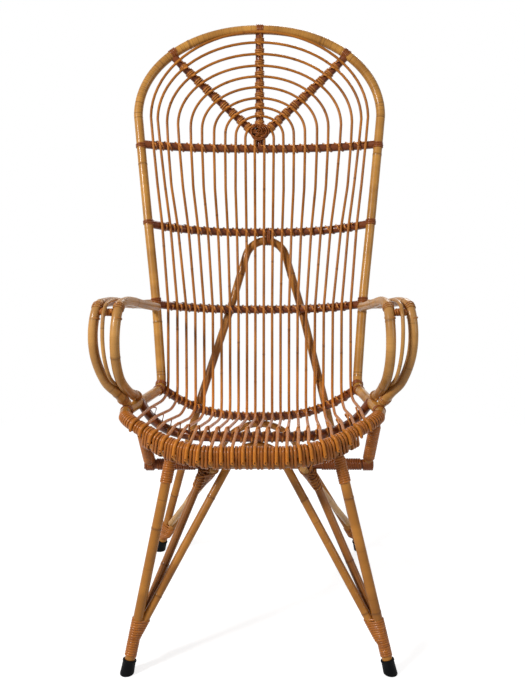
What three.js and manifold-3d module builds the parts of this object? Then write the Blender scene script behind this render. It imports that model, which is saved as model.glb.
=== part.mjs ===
// A tall arched rattan chair: a bent pole hoop that runs on into the seat, eleven nested rods
// that make both back and seat, two open arms, and legs braced by bent poles and stays.
// Millimetres. +Z is up, the chair faces -Y, and the front feet stand at y = 0 on the floor z = 0.

import * as THREE from "three";
import { mergeVertices } from "three/addons/utils/BufferGeometryUtils.js";
import Module from "manifold-3d";

const wasm = await Module();
wasm.setup();

// Stock: outside diameters of the poles, and the cane that binds them
const heavyPole = 21;
const armPole = 18.6;
const legPole = 19;
const railPole = 19;
const bracePole = 16;
const thinPole = 14;
const rodPole = 6.4;
const armRodPole = 7.5;
const spacerPole = 17;
const caneWidth = 6.4;
const canePitch = 7.3;
const caneThick = 2.4;
const rimCaneWidth = 8.4;
const tieWidth = 4;
const tiePitch = 4.7;
const air = 0.35;
const kinkRoom = 0.8;
const bundleRoom = 0.5;

// Back: a leaning sheet that the hoop lies in, measured up its slope from the seat
const sheetFootY = 420;
const sheetFootZ = 400;
const leanDegrees = 17;
const postFootHalf = 222;
const postFootV = 42;
const archHalf = 285;
const archV = 683;
const archRise = 210;
const archPowerShare = 2.07;
const lowerRailV = 235;
const middleRailV = 424;
const upperRailV = 614;
const seatBow = 76;
const lowerBow = 88;
const upperBow = 33;
const bowPowerShare = 2.7;
const postWidthShares = [[0, 0], [0.301, 0.246], [0.596, 0.571], [0.892, 0.889], [1, 1]];
const hubRise = 26;
const spokeEndHalf = 205;
const spokeEndDrop = 4;

// Seat: the hoop's side poles, the front rim and the rails that carry the rods
const rearBend = 40;
const seatCornerHalf = 250;
const seatCornerY = 118;
const seatCornerZ = 466;
const seatCornerBend = 70;
const rimFrontHalf = 120;
const rimFrontY = 30;
const rimFrontZ = 421;
const rimFrontBend = 200;
const rimJointHalf = 214;
const underRimHalf = 188;
const underRimDrop = 19;
const rearRailSetback = 52;
const rearRailDrop = 83;
const midRailHalf = 236;
const midRailY = 137;
const midRailZ = 418;
const midRailSweep = 118;
const midRailRise = 38;
const midRailPowerShare = 3.8;
const midRailRisePowerShare = 6;
const seatSkewShare = 0.0422;

// Rods: pitch at the seat's rear, and for each rod its half width as shares of the seat corner's
// and the arch's, at the rim, the shoulder and the arch's foot, with the height of its top as a
// share of the way from that foot to the crown
const rodSeatPitch = 19.8;
const rodShares = [
  [0.042, 0.039, 0.040, 0.046],
  [0.119, 0.116, 0.118, 0.127],
  [0.198, 0.204, 0.197, 0.190],
  [0.272, 0.288, 0.284, 0.257],
  [0.357, 0.379, 0.377, 0.336],
  [0.434, 0.474, 0.477, 0.434],
  [0.523, 0.561, 0.570, 0.533],
  [0.610, 0.646, 0.674, 0.634],
  [0.699, 0.740, 0.763, 0.744],
  [0.781, 0.789, 0.839, 0.854],
  [0.858, 0.846, 0.893, 0.955],
];
const rodSpreadV = 160;
const rodShoulderDrop = 74;
const rodArchFootRise = 15;
const rodArchFootStep = 4.9;
const rodSpreadPowerShare = 1.5;
const rodTipDrop = 17;
const rodTipBend = 12;
const rodSeatBend = 50;
const rodSagY = 370;
const rodSagZ = 380;
const rodSagRise = 48;
const rodSagPowerShare = 5;
const rodSagBend = 300;

// Under frame: feet on the floor, and the places that the poles run to
const frontFootHalf = 246.5;
const frontLegTopHalf = 162;
const frontLegSkewShare = 0.021;
const frontLegTopDrop = 8;
const rearFootHalf = 249;
const rearFootY = 521;
const rearKneeHalf = 151;
const rearKneeShift = 5;
const rearKneeBend = 120;
const backBraceHalf = 87;
const backBraceShift = 15;
const backBraceTopDrop = 20.5;
const backBraceTopSetback = 2;
const backBraceBend = 50;
const backBraceSwayBend = 300;
const crossRailHalf = 223;
const crossRailY = 145;
const crossRailZ = 360;
const sidePostFootHalf = 212;
const sidePostTopHalf = 220;
const sidePostTopShift = 3;
const bundleZ = 40;
const frontBraceFootHalf = 243;
const frontBraceFootY = 3;
const frontBraceBend = 59;
const frontPolesShift = 3.5;
const frontStayFootHalf = 243;
const frontStayFootY = 13;
const frontStayTopHalf = 103;
const rearStayFootHalf = 216;
const rearStayFootY = 487;
const rearStayFootZ = 86;
const rearStayCrossHalf = 96;
const rearStayOvershoot = 42;
const rearBraceFootHalf = 228;
const rearBraceFootY = 501;
const rearBraceFootZ = 48;
const rearBraceBend = 98;
const capDiameter = 26;
const capHeight = 29;
const legEndZ = 8;

// Cane wraps: where each one starts and stops
const footWrapLowZ = 34;
const frontFootWrapHighZ = 103;
const rearFootWrapHighZ = 72;
const legTopWrapLowZ = 355;
const legTopWrapHighZ = 398;
const crossWrapInnerHalf = 128;
const crossWrapOuterHalf = 192;
const postWrapEndGap = 15;
const rimWindingOnShares = [0.4, 0.85];

// Arms: how far they reach forward from the post, climb above the seat and stand out from the
// post, with each pole's route as shares of standing out, reaching and climbing
const armReach = 362;
const armClimb = 224;
const armSpread = 78;
const armSeatZ = 466;
const armPostY = 468;
const armPostHalf = 226;
const armTaper = 26;
const armSkewShare = 0.033;
const armTipShare = 0.35;
const armSpacerShare = 0.88;
const armInnerShares = [
  [0.033, -0.017, 0.68], [0.16, 0.42, 0.82], [0.28, 0.78, 0.93], [0.32, 0.93, 0.91], [0.36, 1, 0.72],
  [0.365, 1, 0.5], [0.32, 0.96, 0.32], [0.25, 0.86, 0.18], [0.22, 0.74, 0.09], [0.19, 0.62, 0.02],
];
const armOuterShares = [
  [0.3, -0.03, 0.705], [0.52, 0.42, 0.825], [0.74, 0.78, 0.925], [0.84, 0.92, 0.91], [0.91, 0.97, 0.72],
  [0.875, 0.97, 0.5], [0.68, 0.93, 0.27], [0.49, 0.9, 0.18], [0.39, 0.86, 0.11], [0.29, 0.82, 0.04],
];
const armRodShares = [
  [0.2, 0.12, 0.78], [0.4, 0.5, 0.86], [0.55, 0.82, 0.95], [0.61, 0.96, 0.925], [0.635, 1.01, 0.78],
  [0.62, 1.02, 0.55], [0.53, 0.98, 0.33], [0.36, 0.84, 0.18], [0.27, 0.79, 0.1], [0.2, 0.73, 0.04],
];

// Finishes
const hoopFinish = { color: 0xb8742a, roughness: 0.45, metalness: 0 };
const armFinish = { color: 0xbf8a4c, roughness: 0.45, metalness: 0 };
const rodFinish = { color: 0xa9672f, roughness: 0.5, metalness: 0 };
const railFinish = { color: 0x8a4216, roughness: 0.55, metalness: 0 };
const legFinish = { color: 0xa86a22, roughness: 0.45, metalness: 0 };
const stayFinish = { color: 0x7a4a20, roughness: 0.5, metalness: 0 };
const paleFinish = { color: 0xc79a5c, roughness: 0.5, metalness: 0 };
const caneFinish = { color: 0xb56a2c, roughness: 0.4, metalness: 0 };
const rubberFinish = { color: 0x17181a, roughness: 0.85, metalness: 0 };

// Facets: sides of each tube, and how far a bend turns or a wrap goes round in one step
const poleSides = 8;
const rodSides = 5;
const armRodSides = 6;
const capSides = 14;
const bendStepDegrees = 16;
const rodBendStepDegrees = 45;
const wrapSteps = 8;
const tieWrapSteps = 10;
const rimWrapSteps = 9;
const turnSlackShare = 0.01;
const solveRounds = 60;

// Values that follow from the sizes above
const heavy = heavyPole / 2;
const arm = armPole / 2;
const legR = legPole / 2;
const rail = railPole / 2;
const brace = bracePole / 2;
const thin = thinPole / 2;
const rod = rodPole / 2;
const armRod = armRodPole / 2;
const lean = THREE.MathUtils.degToRad(leanDegrees);
const crownV = archV + archRise;
const hubV = upperRailV + hubRise;
const spokeEndV = archV + archRise * superellipse(spokeEndHalf / archHalf) - spokeEndDrop;
const rodShoulderV = upperRailV - rodShoulderDrop;
const rodOffRail = rail + rod + air;
const rodOffRim = heavy + rod + air;
const up = new THREE.Vector3(0, 0, 1);
const upSlope = new THREE.Vector3(0, Math.sin(lean), Math.cos(lean));
const offSlope = new THREE.Vector3(0, Math.cos(lean), -Math.sin(lean));
const bows = [[0, seatBow], [lowerRailV, lowerBow], [middleRailV, lowerBow], [upperRailV, upperBow],
  [crownV, upperBow]];

function at(x, y, z) {
  return new THREE.Vector3(x, y, z);
}

function move(point, direction, length) {
  return point.clone().addScaledVector(direction, length);
}

function between(from, to, share) {
  return from.clone().lerp(to, share);
}

function mirrored(p) {
  return at(-p.x, p.y, p.z);
}

// The arch's height at a place across it, both as shares of its own
function superellipse(share) {
  return (1 - Math.min(1, share) ** archPowerShare) ** (1 / archPowerShare);
}

function bothSides(half) {
  return [...half, ...half.slice(0, -1).reverse().map(mirrored)];
}

// Smooth curve through a table of [place, value] rows
function smoothAt(table, place) {
  let i = 0;
  while (i < table.length - 2 && place > table[i + 1][0]) i += 1;
  const slope = (a) => (table[a + 1][1] - table[a][1]) / (table[a + 1][0] - table[a][0]);
  const before = i > 0 ? (slope(i - 1) + slope(i)) / 2 : slope(i);
  const after = i < table.length - 2 ? (slope(i + 1) + slope(i)) / 2 : slope(i);
  const span = table[i + 1][0] - table[i][0];
  const t = THREE.MathUtils.clamp((place - table[i][0]) / span, 0, 1);
  const eased = t * t * (3 - 2 * t);
  const swing = span * t * (1 - t) * ((1 - t) * before - t * after);
  return table[i][1] + (table[i + 1][1] - table[i][1]) * eased + swing;
}

// The back's half width at a height up the slope, and the hoop's share of reach at a place
function backHalf(v) {
  if (v > archV) {
    return archHalf * superellipse((v - archV) / archRise);
  }
  const share = smoothAt(postWidthShares, (v - postFootV) / (archV - postFootV));
  return postFootHalf + (archHalf - postFootHalf) * share;
}

function reachShare(x, v) {
  if (v > archV) {
    const climb = (v - archV) / archRise;
    return (Math.abs(x / archHalf) ** archPowerShare + climb ** archPowerShare) ** (1 / archPowerShare);
  }
  return Math.abs(x) / backHalf(v);
}

// How far the sheet of rods is bowed to the rear at a place
function bowAt(x, v) {
  return smoothAt(bows, v) * (1 - Math.min(1, reachShare(x, v)) ** bowPowerShare);
}

function onBack(x, v, off) {
  return move(move(at(x, sheetFootY, sheetFootZ), upSlope, v), offSlope, off);
}

// A rod's place in front of the rails, square to the bowed sheet
function rodOnBack(x, v) {
  const nudge = rod;
  const slopeX = (bowAt(x + nudge, v) - bowAt(x - nudge, v)) / (2 * nudge);
  const slopeV = (bowAt(x, v + nudge) - bowAt(x, v - nudge)) / (2 * nudge);
  return onBack(x, v, bowAt(x, v) - rodOffRail * Math.hypot(1, slopeX, slopeV));
}

// The whole seat leans to one side towards the front, and what stands on it or holds it less so
function skewedBy(p, skewShare) {
  const ahead = Math.max(0, rearCorner(1).y - p.y);
  return at(p.x - skewShare * ahead, p.y, p.z);
}

function skewed(p) {
  return skewedBy(p, seatSkewShare);
}

// A bent pole's centreline: points joined by straight runs, with an arc at each corner that has
// a bend radius
function bentLine(corners, stepDegrees = bendStepDegrees) {
  const line = [corners[0].point];
  for (let i = 1; i < corners.length - 1; i += 1) {
    const { point, bend } = corners[i];
    const back = line[line.length - 1].clone().sub(point).normalize();
    const on = corners[i + 1].point.clone().sub(point).normalize();
    const turn = Math.PI - back.angleTo(on);
    if (!bend || turn < 1e-6) {
      line.push(point);
      continue;
    }
    const steps = Math.max(1, Math.ceil(THREE.MathUtils.radToDeg(turn) / stepDegrees));
    const centre = move(point, back.clone().add(on).normalize(), bend / Math.cos(turn / 2));
    const spoke = move(point, back, bend * Math.tan(turn / 2)).sub(centre);
    const axis = back.clone().negate().cross(on).normalize();
    for (let j = 0; j <= steps; j += 1) {
      line.push(spoke.clone().applyAxisAngle(axis, (turn * j) / steps).add(centre));
    }
  }
  line.push(corners[corners.length - 1].point);
  return line;
}

// The corner that the two legs of an arch would meet at if it were not rounded
function archCorner(foot, otherFoot, top, bend) {
  const base = between(foot, otherFoot, 0.5);
  const half = foot.distanceTo(otherFoot) / 2;
  const rise = top.clone().sub(base);
  let height = rise.length();
  for (let i = 0; i < solveRounds; i += 1) {
    const slant = Math.hypot(half, height) / half;
    height = rise.length() + bend * (slant - 1);
  }
  return move(base, rise.clone().normalize(), height);
}

function tangentsOf(line) {
  return line.map((point, i) => {
    const before = i > 0 ? point.clone().sub(line[i - 1]).normalize() : at(0, 0, 0);
    const after = i < line.length - 1 ? line[i + 1].clone().sub(point).normalize() : at(0, 0, 0);
    return before.add(after).normalize();
  });
}

// Place on a line where it first reaches an x, with the line's direction there
function crossing(line, x) {
  const i = line.findIndex((p, j) => j > 0 && (p.x - x) * (line[j - 1].x - x) <= 0);
  const share = (x - line[i - 1].x) / (line[i].x - line[i - 1].x);
  return { point: between(line[i - 1], line[i], share), run: line[i].clone().sub(line[i - 1]).normalize() };
}

// Closed skin over rings that have the same number of points
function skinOver(rings) {
  const sides = rings[0].length;
  const positions = rings.flat().flatMap((p) => [p.x, p.y, p.z]);
  const indices = [];
  for (let i = 0; i < rings.length - 1; i += 1) {
    for (let j = 0; j < sides; j += 1) {
      const a = i * sides + j;
      const b = i * sides + ((j + 1) % sides);
      indices.push(a, b, b + sides, a, b + sides, a + sides);
    }
  }
  const last = (rings.length - 1) * sides;
  for (let j = 1; j < sides - 1; j += 1) {
    indices.push(0, j + 1, j, last, last + j, last + j + 1);
  }
  return { positions, indices };
}

// Round tube along a line, thicker and longer all round by what it has grown
function tubeSkin(line, radii, sides, grown) {
  const tangents = tangentsOf(line);
  const helper = Math.abs(tangents[0].x) < Math.SQRT1_2 ? at(1, 0, 0) : up;
  const side = helper.clone().cross(tangents[0]).normalize();
  const last = line.length - 1;
  return skinOver(line.map((point, i) => {
    if (i > 0) side.applyQuaternion(new THREE.Quaternion().setFromUnitVectors(tangents[i - 1], tangents[i]));
    const over = tangents[i].clone().cross(side);
    const stretch = i === 0 ? -grown : 0;
    const centre = move(point, tangents[i], i === last ? grown : stretch);
    const radius = (Array.isArray(radii) ? radii[i] : radii) + grown;
    return Array.from({ length: sides }, (_, j) => {
      const angle = (2 * Math.PI * j) / sides;
      return move(move(centre, side, radius * Math.cos(angle)), over, radius * Math.sin(angle));
    });
  }));
}

// Corner of the polygon with this many sides that just holds a bundle of round poles, with room
// all round: where the two lines that touch the bundle half a step to each side meet
function bundleCorner(centre, front, side, angle, steps, poles, room) {
  const half = Math.PI / steps;
  const look = (turn) => move(front.clone().multiplyScalar(Math.cos(turn)), side, Math.sin(turn));
  const touch = (turn) => {
    const way = look(turn);
    return room + Math.max(...poles.map((pole) => pole.point.clone().sub(centre).dot(way) + pole.radius));
  };
  const before = touch(angle - half);
  const after = touch(angle + half);
  const out = (after + before) / (2 * Math.cos(half));
  const over = (after - before) / (2 * Math.sin(half));
  return move(move(centre, look(angle), out), look(angle + Math.PI / 2), over);
}

// Flat strand wound on a bundle: each station has a centre, an axis, a front, an angle and poles
function strandSkin(stations, width, steps, grown) {
  const last = stations.length - 1;
  const rings = stations.map(({ centre, axis, front, angle, poles, room }) => {
    const side = axis.clone().cross(front);
    const half = width / 2 + grown;
    const inner = bundleCorner(centre, front, side, angle, steps, poles, room - grown);
    const outer = bundleCorner(centre, front, side, angle, steps, poles, room + caneThick + grown);
    return [move(outer, axis, half), move(outer, axis, -half), move(inner, axis, -half),
      move(inner, axis, half)];
  });
  const start = rings[0][0].clone().sub(rings[1][0]).setLength(grown);
  const stop = rings[last][0].clone().sub(rings[last - 1][0]).setLength(grown);
  rings[0].forEach((p) => p.add(start));
  rings[last].forEach((p) => p.add(stop));
  return skinOver(rings);
}

function toSolid({ positions, indices }) {
  return new wasm.Manifold(new wasm.Mesh({
    numProp: 3,
    vertProperties: new Float32Array(positions),
    triVerts: new Uint32Array(indices),
  }));
}

function toGeometry(solid) {
  const { vertProperties, triVerts } = solid.getMesh();
  const geometry = new THREE.BufferGeometry();
  geometry.setAttribute("position", new THREE.BufferAttribute(new Float32Array(vertProperties), 3));
  geometry.setIndex(new THREE.BufferAttribute(new Uint32Array(triVerts), 1));
  return geometry;
}

// Pieces in the order that they are fitted: each one is cut clear of all that came before it
const pieces = [];

function boxesMeet(a, b) {
  return [0, 1, 2].every((i) => a.min[i] <= b.max[i] && b.min[i] <= a.max[i]);
}

function fit(name, finish, makeSkin, trim) {
  let solid = toSolid(makeSkin(0));
  if (trim) solid = solid.subtract(trim);
  for (const other of pieces) {
    if (boxesMeet(solid.boundingBox(), other.grown.boundingBox())) solid = solid.subtract(other.grown);
  }
  const parts = solid.decompose().sort((a, b) => b.volume() - a.volume());
  pieces.push({ name, finish, solid: parts[0], grown: toSolid(makeSkin(air)) });
}

function fitTube(name, finish, line, radii, sides = poleSides) {
  fit(name, finish, (grown) => tubeSkin(line, radii, sides, grown));
}

// Fits a winding, and prints the least gap between its turns
function fitWinding(name, stations, width, steps) {
  fit(name, caneFinish, (grown) => strandSkin(stations, width, steps, grown));
  const { positions } = strandSkin(stations, width, steps, 0);
  const ringPoints = stations.map((_, i) => [0, 1, 2, 3].map((j) => {
    return new THREE.Vector3().fromArray(positions, (i * 4 + j) * 3);
  }));
  let least = Infinity;
  ringPoints.forEach((ring, i) => {
    ringPoints.slice(i + Math.ceil(steps / 2)).forEach((other) => {
      ring.forEach((p) => other.forEach((q) => {
        least = Math.min(least, p.distanceTo(q));
      }));
    });
  });
  console.log(`${name}: least gap between turns ${least.toFixed(2)} mm`);
}

// Where a pole's line crosses the plane through a point square to an axis, kept on the pole
function sectionOf(pole, place, axis) {
  const run = pole.to.clone().sub(pole.from);
  const share = THREE.MathUtils.clamp(place.clone().sub(pole.from).dot(axis) / run.dot(axis), 0, 1);
  const slant = Math.abs(run.normalize().dot(axis));
  return { point: between(pole.from, pole.to, share), radius: pole.radius / slant };
}

// Stations of a wrap that climbs from one point to another round poles that run its way
function wrapStations(from, to, pitch, steps, poles) {
  const axis = to.clone().sub(from).normalize();
  const turns = Math.floor(from.distanceTo(to) / pitch + turnSlackShare);
  const helper = Math.abs(axis.y) < Math.SQRT1_2 ? at(0, -1, 0) : up;
  const front = move(helper, axis, -helper.dot(axis)).normalize();
  return Array.from({ length: turns * steps + 1 }, (_, i) => {
    const point = between(from, to, i / (turns * steps));
    const sections = poles.map((pole) => sectionOf(pole, point, axis));
    const middle = at(0, 0, 0);
    sections.forEach((section) => middle.addScaledVector(section.point, 1 / sections.length));
    const centre = move(middle, axis, point.clone().sub(middle).dot(axis));
    const room = poles.length > 1 ? air + bundleRoom : air;
    return { centre, axis, front, angle: (2 * Math.PI * i) / steps, poles: sections, room };
  });
}

// The hoop's rear bend, where each post turns forward into a side pole
function rearCorner(side) {
  return onBack(side * postFootHalf, postFootV, 0);
}

// The heavy pole's whole round: half of the front rim, one side pole, one post and half the arch
function heavyHalf() {
  const half = [
    { point: at(0, rimFrontY, rimFrontZ) },
    { point: at(rimFrontHalf, rimFrontY, rimFrontZ), bend: rimFrontBend },
    { point: at(seatCornerHalf, seatCornerY, seatCornerZ), bend: seatCornerBend },
    { point: rearCorner(1), bend: rearBend },
  ];
  const postSteps = 7;
  for (let i = 1; i <= postSteps; i += 1) {
    const v = postFootV + (archV - postFootV) * (i / postSteps);
    half.push({ point: onBack(backHalf(v), v, 0) });
  }
  const archSteps = 9;
  for (let i = 1; i <= archSteps; i += 1) {
    const turn = (Math.PI / 2) * (i / archSteps);
    const reach = Math.cos(turn) ** (2 / archPowerShare);
    const climb = Math.sin(turn) ** (2 / archPowerShare);
    half.push({ point: onBack(archHalf * reach, archV + archRise * climb, 0) });
  }
  return bentLine(half);
}

// The half round split at the joint beyond the front rim's last straight run
const roundHalf = heavyHalf();
const jointIndex = roundHalf.findIndex((p) => p.x > rimJointHalf);
const joint = crossing(roundHalf, rimJointHalf).point;
const buttGap = move(joint, roundHalf[jointIndex].clone().sub(joint).normalize(), air);
const rimHalf = [...roundHalf.slice(0, jointIndex), joint];
const hoopHalf = [buttGap, ...roundHalf.slice(jointIndex)];
const frontLine = [...roundHalf.slice(1, jointIndex + 3).reverse().map(mirrored), ...roundHalf.slice(0, jointIndex + 3)];

// Place on the front rim's line at an x, with its outward and upward directions
function rimFrame(line, x) {
  const { point, run } = crossing(line, x);
  const rise = move(up, run, -up.dot(run)).normalize();
  return { point, run, rise, out: run.clone().cross(rise) };
}

function rearRailPoint(x) {
  const share = 1 - Math.min(1, Math.abs(x) / postFootHalf) ** bowPowerShare;
  const end = rearCorner(1);
  return at(x, end.y + rearRailSetback * share, end.z - rearRailDrop * share);
}

function midRailPoint(x) {
  const reach = Math.min(1, Math.abs(x) / midRailHalf);
  return at(x, midRailY + midRailSweep * reach ** midRailPowerShare, midRailZ + midRailRise * reach ** midRailRisePowerShare);
}

function railLine(half, steps, pointAt) {
  return Array.from({ length: steps + 1 }, (_, i) => pointAt(half * ((2 * i) / steps - 1)));
}

// Distance along a direction that clears a rail by a given amount measured square to the rail
function clearAlong(pointAt, x, direction, clear) {
  const run = pointAt(x + rod).sub(pointAt(x - rod)).normalize();
  return clear / Math.sqrt(1 - direction.dot(run) ** 2);
}

function rodArchFootV(k) {
  return upperRailV + rodArchFootRise + rodArchFootStep * k;
}

// A rod's half width at a height up the back
function rodHalf(k, v) {
  const low = rodSeatPitch * (k + 0.5);
  const shoulder = archHalf * rodShares[k][1];
  const archFoot = archHalf * rodShares[k][2];
  if (v < rodShoulderV) {
    const share = Math.max(0, (v - rodSpreadV) / (rodShoulderV - rodSpreadV));
    return low + (shoulder - low) * share ** rodSpreadPowerShare;
  }
  return shoulder + (archFoot - shoulder) * Math.min(1, (v - rodShoulderV) / (rodArchFootV(k) - rodShoulderV));
}

// Half of a rod: over the front rim, across the seat, round the rear rail and up to its arch
function rodCorners(k) {
  const rim = rimFrame(frontLine, seatCornerHalf * rodShares[k][0]);
  const low = rodHalf(k, 0);
  let midX = low;
  const rear = rearRailPoint(low);
  for (let i = 0; i < solveRounds; i += 1) {
    const share = (midRailPoint(midX).y - rim.point.y) / (rear.y - rim.point.y);
    midX = rim.point.x + (low - rim.point.x) * share;
  }
  const overMid = move(midRailPoint(midX), up, clearAlong(midRailPoint, midX, up, rodOffRail + kinkRoom));
  const sagShare = (rear.y - rodSagY) / (rear.y - overMid.y);
  const sagRise = rodSagRise * (k / (rodShares.length - 1)) ** rodSagPowerShare;
  const sag = at(low + (midX - low) * sagShare, rodSagY, rodSagZ + sagRise);
  const backVs = [lowerRailV, middleRailV, (middleRailV + upperRailV) / 2, upperRailV];
  const first = rodOnBack(rodHalf(k, backVs[0]), backVs[0]);
  const ahead = sag.clone().sub(rear).normalize();
  const above = first.clone().sub(rear).normalize();
  const inward = ahead.clone().add(above).normalize();
  const turn = Math.PI - ahead.angleTo(above);
  const clear = clearAlong(rearRailPoint, low, inward, rodOffRail + kinkRoom);
  const seatCorner = move(rear, inward, clear - rodSeatBend * (1 / Math.cos(turn / 2) - 1));
  const overRim = move(rim.point, rim.rise, rodOffRim);
  const corners = [
    { point: move(move(rim.point, rim.out, rodOffRim), rim.rise, -rodTipDrop) },
    { point: move(overRim, rim.out, rodOffRim), bend: rodTipBend },
    { point: overRim },
    { point: overMid },
    { point: sag, bend: rodSagBend },
    { point: seatCorner, bend: rodSeatBend },
    ...backVs.map((v) => ({ point: rodOnBack(rodHalf(k, v), v) })),
  ];
  const footV = rodArchFootV(k);
  const rise = (crownV - footV) * rodShares[k][3];
  const archSteps = 4 + Math.ceil(k / 4);
  for (let i = 0; i <= archSteps; i += 1) {
    const angle = (Math.PI / 2) * (i / archSteps);
    corners.push({ point: rodOnBack(rodHalf(k, footV) * Math.cos(angle), footV + rise * Math.sin(angle)) });
  }
  return corners;
}

function fitRods() {
  rodShares.forEach((_, k) => {
    const line = bothSides(bentLine(rodCorners(k), rodBendStepDegrees)).map(skewed);
    fitTube(`rod_${String(k + 1).padStart(2, "0")}`, rodFinish, line, rod, rodSides);
  });
}

function fitHoopAndRims() {
  fitTube("back_hoop", hoopFinish, bothSides(hoopHalf).map(skewed), heavy);
  const rimLine = [...rimHalf.slice(1).reverse().map(mirrored), ...rimHalf.slice(1)];
  fitTube("seat_front_rim", hoopFinish, rimLine.map(skewed), heavy);
  const underLine = Array.from({ length: 13 }, (_, i) => {
    const { point, rise } = rimFrame(frontLine, underRimHalf * (i / 6 - 1));
    return skewed(move(point, rise, -underRimDrop));
  });
  fitTube("front_under_rim", legFinish, underLine, brace);
}

// The rim's winding: one strand with a turn in each space between rod ends, which moves on to
// the next space where it passes underneath
function rimWindingStations() {
  const rodXs = rodShares.map((row) => seatCornerHalf * row[0]);
  const spaces = rodXs.slice(1).map((x, i) => (x + rodXs[i]) / 2);
  const beyond = 2 * rodXs[rodXs.length - 1] - spaces[spaces.length - 1];
  const places = [0, ...spaces, beyond];
  const all = [...places.slice(1).reverse().map((x) => -x), ...places];
  const steps = rimWrapSteps;
  const first = -Math.floor(steps * (1 - rimWindingOnShares[1]));
  const stop = (all.length - 1) * steps + Math.floor(steps * rimWindingOnShares[0]);
  return Array.from({ length: stop - first + 1 }, (_, j) => {
    const i = j + first;
    const loop = Math.max(0, Math.floor(i / steps));
    const share = i / steps - loop;
    const onward = THREE.MathUtils.smoothstep(share, ...rimWindingOnShares);
    const next = all[Math.min(loop + 1, all.length - 1)];
    const place = all[loop] + (next - all[loop]) * onward;
    const { point, run, rise } = rimFrame(frontLine, place);
    const nearest = onward > 0 ? Math.min(Math.abs(all[loop]), Math.abs(next)) : Math.abs(all[loop]);
    const poles = [{ point: skewed(point), radius: heavy }];
    if (nearest < underRimHalf) poles.push({ point: skewed(move(point, rise, -underRimDrop)), radius: brace });
    const centre = skewed(move(point, rise, poles.length > 1 ? -underRimDrop / 2 : 0));
    return { centre, axis: run, front: rise, angle: 2 * Math.PI * share, poles, room: air + bundleRoom };
  });
}

function fitRails() {
  const bowed = (v) => (x) => onBack(x, v, bowAt(x, v));
  const railSteps = 12;
  const cross = (v) => railLine(backHalf(v), railSteps, bowed(v));
  fitTube("lower_rail", railFinish, cross(lowerRailV), rail);
  fitTube("middle_rail", railFinish, cross(middleRailV), rail);
  fitTube("upper_rail", railFinish, cross(upperRailV), rail);
  fitTube("seat_rear_rail", railFinish, railLine(postFootHalf, railSteps, rearRailPoint), rail);
  fitTube("seat_mid_rail", railFinish, railLine(midRailHalf, railSteps, midRailPoint).map(skewed), rail);
}

function spokeLine(endX, endV, startV) {
  const steps = 6;
  return Array.from({ length: steps + 1 }, (_, i) => {
    const x = endX * (i / steps);
    const v = startV + (endV - startV) * (i / steps);
    return onBack(x, v, bowAt(x, v));
  });
}

function fitSpokes() {
  fitTube("spoke_center", railFinish, spokeLine(0, crownV, upperRailV), rail);
  fitTube("spoke_right", railFinish, spokeLine(spokeEndHalf, spokeEndV, hubV), rail);
  fitTube("spoke_left", railFinish, spokeLine(-spokeEndHalf, spokeEndV, hubV), rail);
}

// Front legs: foot on the floor, and the top just behind the rim with room for its winding
function frontLeg(side) {
  const foot = at(side * frontFootHalf, 0, 0);
  const { point, out } = rimFrame(frontLine, side * frontLegTopHalf);
  const behind = move(point, out, -(heavy + legR + caneThick + 3 * air));
  const top = skewedBy(move(behind, up, -frontLegTopDrop), frontLegSkewShare);
  return { foot, from: between(foot, top, legEndZ / top.z), to: top, radius: legR };
}

// Rear legs: one long pole that climbs behind the rear rail and the lower rail, and arches over
// under the middle rail, to one side of the chair's middle
function rearLeg(side) {
  const foot = at(side * rearFootHalf, rearFootY, 0);
  const railBehind = rearRailPoint(side * rearKneeHalf + rearKneeShift);
  const knee = move(railBehind, offSlope, legR + rail + air);
  return { foot, from: between(foot, knee, legEndZ / knee.z), to: knee, radius: legR };
}

function backBraceTop() {
  return onBack(backBraceShift, middleRailV - backBraceTopDrop, bowAt(0, middleRailV) + backBraceTopSetback);
}

function backBraceSway(side) {
  const x = side * backBraceHalf + backBraceShift;
  const bowed = (place) => onBack(place, lowerRailV, bowAt(place, lowerRailV));
  return move(bowed(x), offSlope, clearAlong(bowed, x, offSlope, legR + rail + air));
}

function backBraceLine() {
  const right = [rearLeg(1).from, rearLeg(1).to, backBraceSway(1)];
  const left = [rearLeg(-1).from, rearLeg(-1).to, backBraceSway(-1)];
  const corner = archCorner(right[2], left[2], backBraceTop(), backBraceBend);
  return bentLine([
    { point: right[0] },
    { point: right[1], bend: rearKneeBend },
    { point: right[2], bend: backBraceSwayBend },
    { point: corner, bend: backBraceBend },
    { point: left[2], bend: backBraceSwayBend },
    { point: left[1], bend: rearKneeBend },
    { point: left[0] },
  ]);
}

function archedLine(foot, top, bend) {
  const otherFoot = at(2 * top.x - foot.x, foot.y, foot.z);
  return bentLine([{ point: foot }, { point: archCorner(foot, otherFoot, top, bend), bend }, { point: otherFoot }]);
}

function frontBraceFoot(side) {
  return at(side * frontBraceFootHalf - frontPolesShift, frontBraceFootY, bundleZ);
}

function frontBraceTop() {
  return move(midRailPoint(-frontPolesShift), up, -(rail + brace + air));
}

function rearBraceFoot(side) {
  return at(side * rearBraceFootHalf, rearBraceFootY, rearBraceFootZ);
}

function rearBraceTop() {
  return move(rearRailPoint(0), up, -(rail + brace + air));
}

// Front stays end against the underside of the cross rail
function frontStay(side) {
  const from = at(side * frontStayFootHalf, frontStayFootY, bundleZ);
  const to = at(side * frontStayTopHalf - frontPolesShift, crossRailY, crossRailZ - rail);
  return { from, to, radius: brace };
}

// Rear stays pass under the cross rail and stick out beyond it
function rearStayRun(side) {
  const from = at(side * rearStayFootHalf, rearStayFootY, rearStayFootZ);
  const rise = crossRailZ - from.z;
  const depth = from.y - crossRailY;
  const drop = (rail + thin + air) * (Math.hypot(rise, depth) / depth);
  const under = at(side * rearStayCrossHalf, crossRailY, crossRailZ - drop);
  return { from, to: move(under, under.clone().sub(from).normalize(), rearStayOvershoot), radius: thin };
}

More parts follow.
